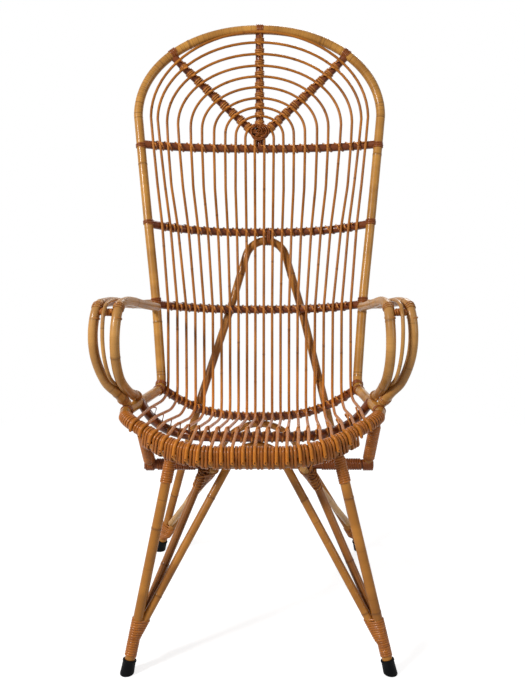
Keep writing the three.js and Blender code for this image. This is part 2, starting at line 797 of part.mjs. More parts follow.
// Side posts stand on the cross rail's ends and carry the seat's front corners
function sidePost(side) {
  const line = frontLine.map(skewed);
  return {
    from: at(side * sidePostFootHalf, crossRailY, crossRailZ),
    to: crossing(line, side * sidePostTopHalf + sidePostTopShift).point,
    radius: legR,
  };
}

function fitUnderFrame() {
  fitTube("back_brace", legFinish, backBraceLine(), legR);
  for (const [word, side] of [["left", -1], ["right", 1]]) {
    const { from, to } = frontLeg(side);
    fitTube(`front_leg_${word}`, legFinish, [from, to], legR);
  }
  fitTube("cross_rail", railFinish, railLine(crossRailHalf, 4, (x) => at(x, crossRailY, crossRailZ)), rail);
  fitTube("front_brace", stayFinish, archedLine(frontBraceFoot(1), frontBraceTop(), frontBraceBend), brace);
  fitTube("rear_brace", legFinish, archedLine(rearBraceFoot(1), rearBraceTop(), rearBraceBend), brace);
  for (const [word, side] of [["left", -1], ["right", 1]]) {
    const stay = frontStay(side);
    const rearPole = rearStayRun(side);
    const post = sidePost(side);
    fitTube(`front_stay_${word}`, stayFinish, [stay.from, stay.to], brace);
    fitTube(`rear_stay_${word}`, paleFinish, [rearPole.from, rearPole.to], thin);
    fitTube(`side_post_${word}`, legFinish, [post.from, post.to], legR);
  }
}

// Arms
function armPoint([spread, reach, climb], side) {
  const x = armPostHalf + spread * armSpread;
  return skewedBy(at(side * x, armPostY - reach * armReach, armSeatZ + climb * armClimb), armSkewShare);
}

function armLine(shares, side) {
  const steps = 13;
  const curve = new THREE.CatmullRomCurve3(shares.map((row) => armPoint(row, side)), false, "centripetal");
  return curve.getPoints(steps);
}

function fitArm(word, side) {
  const inner = armLine(armInnerShares, side);
  const taperShare = armTaper / inner[0].distanceTo(inner[1]);
  inner.splice(1, 0, between(inner[0], inner[1], taperShare));
  const innerRadii = inner.map((_, i) => (i === 0 ? arm * armTipShare : arm));
  const outer = armLine(armOuterShares, side);
  fitTube(`arm_inner_${word}`, armFinish, inner, innerRadii);
  fitTube(`arm_outer_${word}`, armFinish, outer, arm);
  fitTube(`arm_rod_${word}`, armFinish, armLine(armRodShares, side), armRod, armRodSides);
  const level = armSeatZ + armSpacerShare * armClimb;
  const downLeg = (line) => {
    const i = line.findIndex((p, j) => j > 0 && p.z < level && line[j - 1].z >= level);
    return between(line[i - 1], line[i], (line[i - 1].z - level) / (line[i - 1].z - line[i].z));
  };
  fitTube(`arm_spacer_${word}`, caneFinish, [downLeg(inner), downLeg(outer)], spacerPole / 2);
}

// Rubber caps: cups that fit the slanting leg ends and stand flat on the floor
function fitCap(name, leg) {
  const axis = leg.to.clone().sub(leg.foot).normalize();
  const line = [move(leg.foot, axis, -capHeight), move(leg.foot, axis, capHeight)];
  const below = new THREE.BoxGeometry(4 * capHeight, 4 * capHeight, 4 * capHeight);
  below.deleteAttribute("uv");
  below.deleteAttribute("normal");
  below.translate(leg.foot.x, leg.foot.y, -2 * capHeight);
  const merged = mergeVertices(below);
  const floor = toSolid({ positions: merged.attributes.position.array, indices: merged.index.array });
  fit(name, rubberFinish, (grown) => tubeSkin(line, capDiameter / 2, capSides, grown), floor);
}

function atHeight(pole, z) {
  return between(pole.from, pole.to, (z - pole.from.z) / (pole.to.z - pole.from.z));
}

function fitWraps() {
  for (const [word, side] of [["left", -1], ["right", 1]]) {
    const leg = frontLeg(side);
    const rear = rearLeg(side);
    const post = sidePost(side);
    const frontBrace = {
      from: frontBraceFoot(side),
      to: archCorner(frontBraceFoot(side), frontBraceFoot(-side), frontBraceTop(), frontBraceBend),
      radius: brace,
    };
    const rearBrace = {
      from: rearBraceFoot(side),
      to: archCorner(rearBraceFoot(side), rearBraceFoot(-side), rearBraceTop(), rearBraceBend),
      radius: brace,
    };
    fitWinding(`front_foot_wrap_${word}`, wrapStations(atHeight(leg, footWrapLowZ),
      atHeight(leg, frontFootWrapHighZ), canePitch, wrapSteps, [leg, frontBrace, frontStay(side)]), caneWidth, wrapSteps);
    fitWinding(`rear_foot_wrap_${word}`, wrapStations(atHeight(rear, footWrapLowZ),
      atHeight(rear, rearFootWrapHighZ), canePitch, wrapSteps, [rear, rearBrace]), caneWidth, wrapSteps);
    fitWinding(`leg_top_wrap_${word}`, wrapStations(atHeight(leg, legTopWrapLowZ),
      atHeight(leg, legTopWrapHighZ), canePitch, wrapSteps, [leg]), caneWidth, wrapSteps);
    const postRun = post.to.clone().sub(post.from).normalize();
    fitWinding(`side_post_wrap_${word}`, wrapStations(move(post.from, postRun, postWrapEndGap + rail),
      move(post.to, postRun, -postWrapEndGap - heavy), canePitch, wrapSteps, [post]), caneWidth, wrapSteps);
    const crossPole = {
      from: at(0, crossRailY, crossRailZ),
      to: at(side * crossRailHalf, crossRailY, crossRailZ),
      radius: rail,
    };
    fitWinding(`cross_rail_wrap_${word}`, wrapStations(at(side * crossWrapInnerHalf, crossRailY, crossRailZ),
      at(side * crossWrapOuterHalf, crossRailY, crossRailZ), canePitch, wrapSteps, [crossPole]), caneWidth, wrapSteps);
  }
}

// Ties of two turns round two poles that run the same way
function tieStations(upper, upperRadius, lower, lowerRadius) {
  const across = at(tiePitch, 0, 0);
  const pole = (point, radius) => ({ from: point.clone().sub(across), to: point.clone().add(across), radius });
  const middle = between(upper, lower, 0.5);
  return wrapStations(middle.clone().sub(across), middle.clone().add(across), tiePitch, tieWrapSteps,
    [pole(upper, upperRadius), pole(lower, lowerRadius)]);
}

// One tie holds the back brace beside the middle rod, the other the rear brace at the middle
function fitTies() {
  const x = (rodHalf(0, middleRailV) + rodHalf(1, middleRailV)) / 2;
  const braceTop = backBraceTop();
  const overBrace = at(x, braceTop.y, braceTop.z);
  fitWinding("back_brace_tie", tieStations(onBack(x, middleRailV, bowAt(x, middleRailV)), rail, overBrace, legR),
    tieWidth, tieWrapSteps);
  fitWinding("rear_brace_tie", tieStations(rearRailPoint(0), rail, rearBraceTop(), brace), tieWidth, tieWrapSteps);
}

fitRods();
fitHoopAndRims();
fitWinding("rim_winding", rimWindingStations(), rimCaneWidth, rimWrapSteps);
fitRails();
fitSpokes();
fitUnderFrame();
fitArm("left", -1);
fitArm("right", 1);
fitCap("front_cap_left", frontLeg(-1));
fitCap("front_cap_right", frontLeg(1));
fitCap("rear_cap_left", rearLeg(-1));
fitCap("rear_cap_right", rearLeg(1));
fitWraps();
fitTies();

// The origin is on the floor, below the middle of the chair's box
const chair = new THREE.Group();
for (const { name, finish, solid } of pieces) {
  const mesh = new THREE.Mesh(toGeometry(solid), new THREE.MeshStandardMaterial(finish));
  mesh.name = name;
  chair.add(mesh);
}
const box = new THREE.Box3().setFromObject(chair);
const middle = box.getCenter(at(0, 0, 0));
chair.position.set(-middle.x, -middle.y, -box.min.z);

export default chair;
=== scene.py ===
"""The finished look of a tall arched rattan chair, built around its solid frame.

Poles, rods and rails follow the same bent centrelines as the solids, with growth rings, rounded
ends and lashings added. Metres throughout. Centrelines are worked out in the maker's frame, where
the front feet stand at y = 0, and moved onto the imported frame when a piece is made.
"""

import math
import random
from bisect import bisect_right

import bpy
from bpy.props import FloatProperty, FloatVectorProperty, PointerProperty
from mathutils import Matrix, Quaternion, Vector


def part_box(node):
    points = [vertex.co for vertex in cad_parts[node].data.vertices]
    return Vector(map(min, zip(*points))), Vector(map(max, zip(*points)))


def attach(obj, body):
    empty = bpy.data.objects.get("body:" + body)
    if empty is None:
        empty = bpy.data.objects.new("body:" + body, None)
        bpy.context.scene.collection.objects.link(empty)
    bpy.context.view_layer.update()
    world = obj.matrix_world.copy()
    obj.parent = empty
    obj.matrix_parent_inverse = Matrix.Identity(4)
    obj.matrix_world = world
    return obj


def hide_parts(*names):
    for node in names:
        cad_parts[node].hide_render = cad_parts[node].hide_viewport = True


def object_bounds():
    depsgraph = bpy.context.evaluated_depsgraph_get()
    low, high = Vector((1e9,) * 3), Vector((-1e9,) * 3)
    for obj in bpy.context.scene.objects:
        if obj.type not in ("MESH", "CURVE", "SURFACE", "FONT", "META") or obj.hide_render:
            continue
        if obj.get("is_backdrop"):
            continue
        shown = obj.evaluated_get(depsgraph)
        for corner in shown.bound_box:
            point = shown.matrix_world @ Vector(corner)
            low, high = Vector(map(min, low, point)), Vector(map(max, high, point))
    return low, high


bl_info = {
    "name": "Arched rattan chair",
    "version": (1, 0, 0),
    "blender": (4, 5, 0),
    "location": "View3D > Sidebar > Rattan chair",
    "description": "Builds the poles, rods, cane lashings and studio of a tall rattan chair",
    "category": "Object",
}

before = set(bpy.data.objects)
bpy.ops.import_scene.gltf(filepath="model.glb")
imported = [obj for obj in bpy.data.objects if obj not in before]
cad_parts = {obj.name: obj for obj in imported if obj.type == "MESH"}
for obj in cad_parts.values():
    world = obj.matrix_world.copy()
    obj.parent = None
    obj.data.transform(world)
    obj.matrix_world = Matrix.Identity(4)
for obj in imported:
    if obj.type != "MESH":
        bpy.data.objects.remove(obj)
SOLID_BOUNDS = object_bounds()
BODY = "root"

# Back: a leaning sheet that the hoop lies in, measured up its slope from the seat
SHEET_FOOT_Y = 0.420
SHEET_FOOT_Z = 0.400
LEAN = math.radians(17)
POST_FOOT_HALF = 0.222
POST_FOOT_V = 0.042
ARCH_HALF = 0.285
ARCH_V = 0.683
ARCH_RISE = 0.210
ARCH_POWER = 2.07
LOWER_RAIL_V = 0.235
MIDDLE_RAIL_V = 0.424
UPPER_RAIL_V = 0.614
SEAT_BOW = 0.076
LOWER_BOW = 0.088
UPPER_BOW = 0.033
BOW_POWER = 2.7
POST_WIDTH_SHARES = ((0, 0), (0.301, 0.246), (0.596, 0.571), (0.892, 0.889), (1, 1))
HUB_RISE = 0.026
SPOKE_END_HALF = 0.205
SPOKE_END_DROP = 0.004

# Seat: the hoop's side poles, the front rim and the rails that carry the rods
REAR_BEND = 0.040
SEAT_CORNER = Vector((0.250, 0.118, 0.466))
SEAT_CORNER_BEND = 0.070
RIM_FRONT = Vector((0.120, 0.030, 0.421))
RIM_FRONT_BEND = 0.200
RIM_JOINT_HALF = 0.214
UNDER_RIM_HALF = 0.188
UNDER_RIM_DROP = 0.019
REAR_RAIL_SETBACK = 0.052
REAR_RAIL_DROP = 0.083
MID_RAIL_HALF = 0.236
MID_RAIL_Y = 0.137
MID_RAIL_Z = 0.418
MID_RAIL_SWEEP = 0.118
MID_RAIL_RISE = 0.038
MID_RAIL_POWER = 3.8
MID_RAIL_RISE_POWER = 6
SEAT_SKEW = 0.0422

# Rods: half widths as shares at the rim, the shoulder and the arch's foot, and the arch's height
ROD_SEAT_PITCH = 0.0198
ROD_SHARES = (
    (0.042, 0.039, 0.040, 0.046), (0.119, 0.116, 0.118, 0.127), (0.198, 0.204, 0.197, 0.190),
    (0.272, 0.288, 0.284, 0.257), (0.357, 0.379, 0.377, 0.336), (0.434, 0.474, 0.477, 0.434),
    (0.523, 0.561, 0.570, 0.533), (0.610, 0.646, 0.674, 0.634), (0.699, 0.740, 0.763, 0.744),
    (0.781, 0.789, 0.839, 0.854), (0.858, 0.846, 0.893, 0.955),
)
ROD_SPREAD_V = 0.160
ROD_SHOULDER_DROP = 0.074
ROD_ARCH_FOOT_RISE = 0.015
ROD_ARCH_FOOT_STEP = 0.0049
ROD_SPREAD_POWER = 1.5
ROD_TIP_DROP = 0.017
ROD_TIP_SHORTER = 0.008
ROD_TIP_SHORTER_FROM = 6
ROD_TIP_BEND = 0.012
ROD_SEAT_BEND = 0.050
ROD_SAG_Y = 0.370
ROD_SAG_Z = 0.380
ROD_SAG_RISE = 0.048
ROD_SAG_POWER = 5
ROD_SAG_BEND = 0.300
ROD_EASE_BEND = 0.150
ROD_RIM_BEND = 0.004
ROD_MID_BEND = 0.130
ROD_KINK_ROOM = 0.0008

# Under frame: feet on the floor, and the places that the poles run to
FRONT_FOOT_HALF = 0.2465
FRONT_LEG_TOP_HALF = 0.162
FRONT_LEG_SKEW = 0.021
FRONT_LEG_TOP_DROP = 0.008
FRONT_LEG_ROOM = 0.0024
REAR_FOOT_HALF = 0.249
REAR_FOOT_Y = 0.521
REAR_KNEE_HALF = 0.151
REAR_KNEE_SHIFT = 0.005
REAR_KNEE_BEND = 0.120
BACK_BRACE_HALF = 0.087
BACK_BRACE_SHIFT = 0.015
BACK_BRACE_TOP_DROP = 0.0205
BACK_BRACE_TOP_SETBACK = 0.002
BACK_BRACE_BEND = 0.050
BACK_BRACE_SWAY_BEND = 0.300
CROSS_RAIL_HALF = 0.223
CROSS_RAIL_Y = 0.145
CROSS_RAIL_Z = 0.360
SIDE_POST_FOOT_HALF = 0.212
SIDE_POST_TOP_HALF = 0.220
SIDE_POST_TOP_SHIFT = 0.003
BUNDLE_Z = 0.040
FRONT_BRACE_FOOT_HALF = 0.243
FRONT_BRACE_FOOT_Y = 0.003
FRONT_BRACE_BEND = 0.059
FRONT_POLES_SHIFT = 0.0035
FRONT_STAY_FOOT_HALF = 0.243
FRONT_STAY_FOOT_Y = 0.013
FRONT_STAY_TOP_HALF = 0.103
REAR_STAY_FOOT = Vector((0.216, 0.487, 0.086))
REAR_STAY_CROSS_HALF = 0.096
REAR_STAY_OVERSHOOT = 0.042
REAR_BRACE_FOOT = Vector((0.228, 0.501, 0.048))
REAR_BRACE_BEND = 0.098
CAP_DIAMETER = 0.026
CAP_HEIGHT = 0.029
LEG_END_Z = 0.008

# Arms: routes as shares of standing out, reaching forward and climbing
ARM_REACH = 0.362
ARM_CLIMB = 0.224
ARM_SPREAD = 0.078
ARM_SEAT_Z = 0.466
ARM_POST_Y = 0.468
ARM_POST_HALF = 0.226
ARM_TAPER = 0.026
ARM_SKEW = 0.033
ARM_TIP_SHARE = 0.35
ARM_SPACER_Z = ARM_SEAT_Z + 0.88 * ARM_CLIMB
ARM_INNER_SHARES = (
    (0.033, -0.017, 0.68), (0.16, 0.42, 0.82), (0.28, 0.78, 0.93), (0.32, 0.93, 0.91), (0.36, 1, 0.72),
    (0.365, 1, 0.5), (0.32, 0.96, 0.32), (0.25, 0.86, 0.18), (0.22, 0.74, 0.09), (0.19, 0.62, 0.02),
)
ARM_OUTER_SHARES = (
    (0.3, -0.03, 0.705), (0.52, 0.42, 0.825), (0.74, 0.78, 0.925), (0.84, 0.92, 0.91), (0.91, 0.97, 0.72),
    (0.875, 0.97, 0.5), (0.68, 0.93, 0.27), (0.49, 0.9, 0.18), (0.39, 0.86, 0.11), (0.29, 0.82, 0.04),
)
ARM_ROD_SHARES = (
    (0.2, 0.12, 0.78), (0.4, 0.5, 0.86), (0.55, 0.82, 0.95), (0.61, 0.96, 0.925), (0.635, 1.01, 0.78),
    (0.62, 1.02, 0.55), (0.53, 0.98, 0.33), (0.36, 0.84, 0.18), (0.27, 0.79, 0.1), (0.2, 0.73, 0.04),
)

# Cane wraps: where each one starts and stops, and the pitch of its turns in widths of its cane
FOOT_WRAP_LOW_Z = 0.033
FRONT_BUNDLE_END_Z = 0.064
FRONT_FOOT_WRAP_HIGH_Z = 0.103
REAR_FOOT_WRAP_HIGH_Z = 0.075
LEG_TOP_WRAP_LOW_Z = 0.352
LEG_TOP_WRAP_HIGH_Z = 0.399
CROSS_WRAP_INNER_HALF = 0.122
CROSS_WRAP_OUTER_HALF = 0.200
CROSS_KNOB_REACH = 0.009
CROSS_KNOB_END_GAP = 0.001
POST_WRAP_END_GAP = 0.004
STAY_TIE_LOW_Z = 0.322
STAY_TIE_HIGH_Z = 0.348
STAY_CROSS_DROP = 0.004
STAY_CROSS_LEAN = 0.9
STAY_CROSS_WIDTHS = 1.1
BRACE_TIE_HALF = 0.0072
RIM_EXTRA_TURNS = 11
RIM_EXTRA_PITCH = 1.04
RIM_SQUEEZE = 0.3
RIM_SLIDE_FROM = 0.45
RIM_SLIDE_SHARE = 0.36
RIM_END_ROOM = 0.002
WRAP_DRAW_IN = 0.012
WRAP_PITCH = 1.03
TIE_PITCH = 1.05
RING_PITCH = 1.06
SPACER_PITCH = 1.02
KNOB_PITCH = 0.9

# Growth rings, bends and sawn ends
RING_REACH = 0.0022
RING_SWELL = 0.055
RING_READINGS = (-2.2, -1.4, -0.9, -0.45, 0, 0.45, 0.9, 1.4, 2.2)
FIRST_RING_SHARES = (0.2, 0.8)
NEXT_RING_SHARES = (0.75, 1.3)
RAIL_RING_GAP = 0.24
LEG_RING_GAP = 0.22
BRACE_RING_GAP = 0.27
ROD_RING_GAP = 0.34
ARM_INNER_RING_GAP = 0.17
ARM_OUTER_RING_GAP = 0.19
HOOP_RING_PLACES = (0.141, -0.169)
HOOP_RING_GAP = 0.34
HOOP_RING_STEPS = (0, 1, 2.1, 3)
BEND_REACH = 0.012
BEND_RADIUS_SEEN = 0.24
SAWN_ROUND = 0.0012
SAWN_SHARE = 0.86
SAWN_READINGS = 4
SAWN_CROWDING = 1.6
ROD_END_ROUND = 1.1
ROD_END_SHARE = 0.25

# Lashings, the hub's loops, the rings of cane and the nails
LASH_BEFORE = 0.0088
LASH_AFTER = 0.0050
LASH_GAP = 0.0020
LASH_HIGH = 0.0
LASH_SEAT_HIGH = math.radians(-22)
LASH_SLANT = math.radians(34)
LASH_FALL_FROM = 0.30
LEAST_UPWARD = 0.3
LEAST_COSINE = 0.6
SPOKE_SPARE_TURNS = 2
HUB_LOOPS = 11
HUB_LIFT = 0.008
HUB_SMALLEST = 0.0085
HUB_STEP = 0.0040
HUB_HALF = 0.0215
HUB_SPREAD = 0.001
HUB_TILT = 0.25
HUB_WEAVE_DEPTH = 0.0028
HUB_WEAVE_SWAY = 0.0012
HUB_THICK = 0.0024
SPOKE_RING_TURNS = 4
POST_RING_TURNS = 3
SIDE_POLE_RING_YS = (0.36, 0.22)
SIDE_POLE_TOP_Z = 0.48
ARM_RINGS_BY_SPACER = ((-0.019, -0.007), (0.007, 0.013))
ARM_RINGS_END_GAP = 0.012
ARM_RINGS_WIDTH_SHARE = 0.85
ARM_RINGS_THICK = 0.0015
NAIL_RADIUS = 0.0012
NAIL_FLATNESS = 0.45
NAIL_SIDES = 10
NAIL_RINGS = 6
NAIL_ABOVE_TIP = 0.005

# Varnish and studio
SHEEN_LEVEL = 0.15
RUBBER_SHEEN_LEVEL = 0.05
COAT_ROUGHNESS = 0.13
CANE_COAT_ROUGHNESS = 0.14
CANE_GLOSS = 0.25
CANE_COAT = 0.14
# Heights over which the rods are painted lighter and warmer: painted light on the seat
PAINTED_LIGHT_TOP_Z = 0.50
PAINTED_LIGHT_LOW_Z = 0.42
GRAIN_SPREAD = 40
FLOOR_HALF = 12.0
FLOOR_WHITE = 0.5
FLOOR_GLOW = 0.76
FLOOR_FADE_START = 0.7
FLOOR_FADE_END = 1.6
WORLD_GLOW = 0.17
LAMPS = (
    ("key_lamp", Vector((-2.1, -1.75, 2.3)), 0.6, 92),
    ("fill_lamp", Vector((2.2, -1.8, 1.5)), 1.2, 18),
    ("rear_lamp", Vector((0.6, 2.4, 2.4)), 1.2, 32),
)
LAMPS_AIM = Vector((0, 0, 0.65))
CAMERA_PLACE = Vector((0.007, -1.365, 0.8995))
CAMERA_TILT = math.radians(11.67)
CAMERA_LENS = 41.81
CAMERA_SENSOR = 36

# Fineness: how closely centrelines are read, and the sides of each section
BEND_STEP = math.radians(5)
POLE_STEP = 0.005
ROD_STEP = 0.004
LEAST_STEP = 0.00015
RIM_READINGS = 400
SPOKE_STEPS = 20
HOOP_SIDES = 28
POLE_SIDES = 22
ROD_SIDES = 12
STRAND_SIDES = 8
CAP_SIDES = 40
POLE_SHARP_ANGLE = math.radians(50)
CANE_SHARP_ANGLE = math.radians(80)
TURN_STEPS = 22
LASH_STEPS = (6, 15, 9)
HUB_STEPS = 60
HUB_OVERLAP_STEPS = 3
UNDER_RIM_STEPS = 32
SOLVER_ROUNDS = 60
AIR = 0.00035

UP = Vector((0, 0, 1))
FORWARD = Vector((0, -1, 0))
UP_SLOPE = Vector((0, math.sin(LEAN), math.cos(LEAN)))
OFF_SLOPE = Vector((0, math.cos(LEAN), -math.sin(LEAN)))
CROWN_V = ARCH_V + ARCH_RISE
HUB_V = UPPER_RAIL_V + HUB_RISE
ROD_SHOULDER_V = UPPER_RAIL_V - ROD_SHOULDER_DROP
BOWS = ((0, SEAT_BOW), (LOWER_RAIL_V, LOWER_BOW), (MIDDLE_RAIL_V, LOWER_BOW), (UPPER_RAIL_V, UPPER_BOW),
        (CROWN_V, UPPER_BOW))
SIDES = (("left", -1), ("right", 1))
BACK_RAILS = (("lower", LOWER_RAIL_V), ("middle", MIDDLE_RAIL_V), ("upper", UPPER_RAIL_V))
SPOKES = (("center", 0), ("right", SPOKE_END_HALF), ("left", -SPOKE_END_HALF))


def length_size(name, words, default):
    return FloatProperty(name=name, description=words, default=default, min=0.0005,
                         unit="LENGTH", precision=4)


def colour_of(name, words, default):
    return FloatVectorProperty(name=name, description=words, default=default, subtype="COLOR", min=0, max=1)


class RattanStock(bpy.types.PropertyGroup):
    """Diameters of the poles and rods"""
    heavy_pole: length_size("Hoop pole", "Diameter of the hoop and the seat's rim", 0.021)
    arm_pole: length_size("Arm pole", "Diameter of the arms' two outer poles", 0.0186)
    leg_pole: length_size("Leg pole", "Diameter of the legs and the back brace", 0.019)
    rail_pole: length_size("Rail pole", "Diameter of the rails and spokes", 0.019)
    brace_pole: length_size("Brace pole", "Diameter of the braces and front stays", 0.016)
    thin_pole: length_size("Thin pole", "Diameter of the rear stays", 0.014)
    rod: length_size("Rod", "Diameter of the rods that fill back and seat", 0.0064)
    arm_rod: length_size("Arm rod", "Diameter of the rod inside each arm", 0.0075)
    spacer: length_size("Spacer", "Diameter of the wrapped spacer in each arm", 0.0150)


class RattanCane(bpy.types.PropertyGroup):
    """Split cane that binds the poles"""
    wide: length_size("Rim cane", "Width of the strands round the front rim", 0.0056)
    wide_thick: length_size("Rim cane thickness", "Thickness of the strands round the front rim", 0.0030)
    fine: length_size("Fine cane", "Width of the strands round legs and posts", 0.0043)
    lash: length_size("Lashing cane", "Width of the strands that tie rods to rails", 0.0040)
    lash_thick: length_size("Lashing thickness", "Thickness of the strands that tie rods to rails", 0.0025)
    thick: length_size("Cane thickness", "Thickness of all the cane", 0.0021)


class RattanColours(bpy.types.PropertyGroup):
    """Varnished colours, as they look in plain light"""
    hoop: colour_of("Hoop", "Honey colour of the hoop", (0.52, 0.242, 0.046))
    leg: colour_of("Leg", "Golden brown of the legs and braces", (0.44, 0.175, 0.027))
    arm: colour_of("Arm", "Light tan of the arms", (0.53, 0.262, 0.070))
    rod: colour_of("Rod", "Middle brown of the rods", (0.43, 0.150, 0.020))
    rail: colour_of("Rail", "Reddish brown of the rails", (0.200, 0.050, 0.010))
    stay: colour_of("Stay", "Darker brown of the front stays", (0.33, 0.125, 0.026))
    pale: colour_of("Pale pole", "Pale tan of the rear stays", (0.60, 0.320, 0.095))
    cane: colour_of("Cane", "Orange brown of the bindings", (0.42, 0.132, 0.018))
    dark_cane: colour_of("Dark cane", "Reddish brown of the spacers and ties", (0.26, 0.068, 0.010))
    lashing: colour_of("Lashings", "Orange brown of the strands along the rails", (0.42, 0.150, 0.026))
    tan_cane: colour_of("Tan cane", "Light tan of the bindings on the arms", (0.42, 0.165, 0.036))
    rubber: colour_of("Rubber", "Black of the leg caps", (0.004, 0.0042, 0.0046))


def stock():
    return bpy.context.scene.rattan_stock


def cane():
    return bpy.context.scene.rattan_cane


def colours():
    return bpy.context.scene.rattan_colours


# Centrelines

def eased(share):
    """A share from 0 to 1 that starts and ends gently."""
    share = min(1, max(0, share))
    return share * share * (3 - 2 * share)


def smooth_at(table, place):
    """A smooth curve through a table of places and values."""
    i = 0
    while i < len(table) - 2 and place > table[i + 1][0]:
        i += 1
    slopes = [(b[1] - a[1]) / (b[0] - a[0]) for a, b in zip(table, table[1:])]
    before = (slopes[i - 1] + slopes[i]) / 2 if i > 0 else slopes[i]
    after = (slopes[i + 1] + slopes[i]) / 2 if i < len(slopes) - 1 else slopes[i]
    span = table[i + 1][0] - table[i][0]
    t = min(1, max(0, (place - table[i][0]) / span))
    swing = span * t * (1 - t) * ((1 - t) * before - t * after)
    return table[i][1] + (table[i + 1][1] - table[i][1]) * eased(t) + swing


def superellipse(share):
    return (1 - min(1, share) ** ARCH_POWER) ** (1 / ARCH_POWER)


def arch_v(x):
    """The arch's height up the slope at an x."""
    return ARCH_V + ARCH_RISE * superellipse(abs(x) / ARCH_HALF)


def back_half(v):
    """The back's half width at a height up the slope."""
    if v > ARCH_V:
        return ARCH_HALF * superellipse((v - ARCH_V) / ARCH_RISE)
    share = smooth_at(POST_WIDTH_SHARES, (v - POST_FOOT_V) / (ARCH_V - POST_FOOT_V))
    return POST_FOOT_HALF + (ARCH_HALF - POST_FOOT_HALF) * share


def bow_at(x, v):
    """How far the sheet of rods is bowed to the rear at a place."""
    if v > ARCH_V:
        out, climb = abs(x / ARCH_HALF), (v - ARCH_V) / ARCH_RISE
        reach = (out ** ARCH_POWER + climb ** ARCH_POWER) ** (1 / ARCH_POWER)
    else:
        reach = abs(x) / back_half(v)
    return smooth_at(BOWS, v) * (1 - min(1, reach) ** BOW_POWER)


def on_back(x, v, off=0.0):
    return Vector((x, SHEET_FOOT_Y, SHEET_FOOT_Z)) + UP_SLOPE * v + OFF_SLOPE * off


def on_sheet(x, v):
    return on_back(x, v, bow_at(x, v))


def back_rail(v):
    """The place on a back rail as a function of x."""
    return lambda x: on_sheet(x, v)


def apart(one, other):
    """The distance between the centrelines of two poles that lie on each other."""
    return (one + other) / 2 + AIR


def rod_on_back(x, v):
    """A rod's place in front of the rails, square to the bowed sheet."""
    nudge = stock().rod / 2
    slope_x = (bow_at(x + nudge, v) - bow_at(x - nudge, v)) / (2 * nudge)
    slope_v = (bow_at(x, v + nudge) - bow_at(x, v - nudge)) / (2 * nudge)
    off_rail = apart(stock().rail_pole, stock().rod)
    return on_back(x, v, bow_at(x, v) - off_rail * math.sqrt(1 + slope_x ** 2 + slope_v ** 2))


def rear_corner(side):
    return on_back(side * POST_FOOT_HALF, POST_FOOT_V)


def skewed_by(p, share):
    """The seat leans to one side towards the front, and what stands on it less so."""
    ahead = max(0, rear_corner(1).y - p.y)
    return Vector((p.x - share * ahead, p.y, p.z))


def skewed(p):
    return skewed_by(p, SEAT_SKEW)


def beside(side, p):
    """A place given for the right side, on either side."""
    return Vector((side * p.x, p.y, p.z))


def mirrored(p):
    return beside(-1, p)


def both_sides(half):
    """A line from one end to its middle, with its mirrored half after it."""
    return half + [mirrored(p) for p in reversed(half[:-1])]


def from_middle(half):
    """A line from its middle to one end, with its mirrored half before it."""
    return [mirrored(p) for p in reversed(half[1:])] + half


def bent_line(corners):
    """Points joined by straight runs, with an arc at each corner that has a bend radius."""
    line = [corners[0][0]]
    for (point, bend), (onward, _) in zip(corners[1:-1], corners[2:]):
        back = (line[-1] - point).normalized()
        on = (onward - point).normalized()
        turn = math.pi - back.angle(on)
        if not bend or turn < 1e-4:
            line.append(point)
            continue
        steps = max(1, math.ceil(turn / BEND_STEP))
        centre = point + (back + on).normalized() * (bend / math.cos(turn / 2))
        spoke = point + back * (bend * math.tan(turn / 2)) - centre
        axis = (-back).cross(on).normalized()
        for j in range(steps + 1):
            line.append(centre + Quaternion(axis, turn * j / steps) @ spoke)
    line.append(corners[-1][0])
    return line


def arch_corner(foot, other_foot, top, bend):
    """The corner that the two legs of an arch would meet at if it were not rounded."""
    base = (foot + other_foot) / 2
    half = (foot - other_foot).length / 2
    rise = top - base
    height = rise.length
    for _ in range(SOLVER_ROUNDS):
        height = rise.length + bend * (math.hypot(half, height) / half - 1)
    return base + rise.normalized() * height


def crossing(line, x):
    """Place on a line where it first reaches an x, with the line's direction there."""
    for a, b in zip(line, line[1:]):
        if (a.x - x) * (b.x - x) <= 0:
            return a.lerp(b, (x - a.x) / (b.x - a.x)), (b - a).normalized()
    raise ValueError(f"the line never reaches x = {x}")


def heavy_half():
    """Half of the front rim, one side pole, one post and half the arch."""
    half = [(Vector((0, RIM_FRONT.y, RIM_FRONT.z)), 0), (RIM_FRONT, RIM_FRONT_BEND),
            (SEAT_CORNER, SEAT_CORNER_BEND), (rear_corner(1), REAR_BEND)]
    post_steps, first, arch_steps = 35, 5, 36
    for i in range(first, post_steps + 1):
        v = POST_FOOT_V + (ARCH_V - POST_FOOT_V) * i / post_steps
        half.append((on_back(back_half(v), v), 0))
    for i in range(1, arch_steps + 1):
        turn = math.pi / 2 * i / arch_steps
        out, climb = (max(0, part) ** (2 / ARCH_POWER) for part in (math.cos(turn), math.sin(turn)))
        half.append((on_back(ARCH_HALF * out, ARCH_V + ARCH_RISE * climb), 0))
    return bent_line(half)


def rim_and_hoop():
    """Half of the rim and half of the hoop, split at the joint between them."""
    half = heavy_half()
    split = next(i for i, p in enumerate(half) if p.x > RIM_JOINT_HALF)
    joint = crossing(half, RIM_JOINT_HALF)[0]
    after = joint + (half[split] - joint).normalized() * AIR
    return [*half[:split], joint], [after, *half[split:]]


def hoop_line():
    """The side poles, the posts and the arch, as one line."""
    return [skewed(p) for p in both_sides(rim_and_hoop()[1])]


def front_line():
    """The whole front of the seat's outline, from one corner to the other."""
    half = heavy_half()
    widest = max((i for i, p in enumerate(half) if p.y < MID_RAIL_Y), key=lambda i: half[i].x)
    return from_middle(half[:widest + 1])


def rim_route():
    """The rim's centreline, closely set, from the middle of one corner to the middle of the other."""
    route = Route(front_line())
    return Route([route.at(route.length * i / RIM_READINGS) for i in range(RIM_READINGS + 1)])


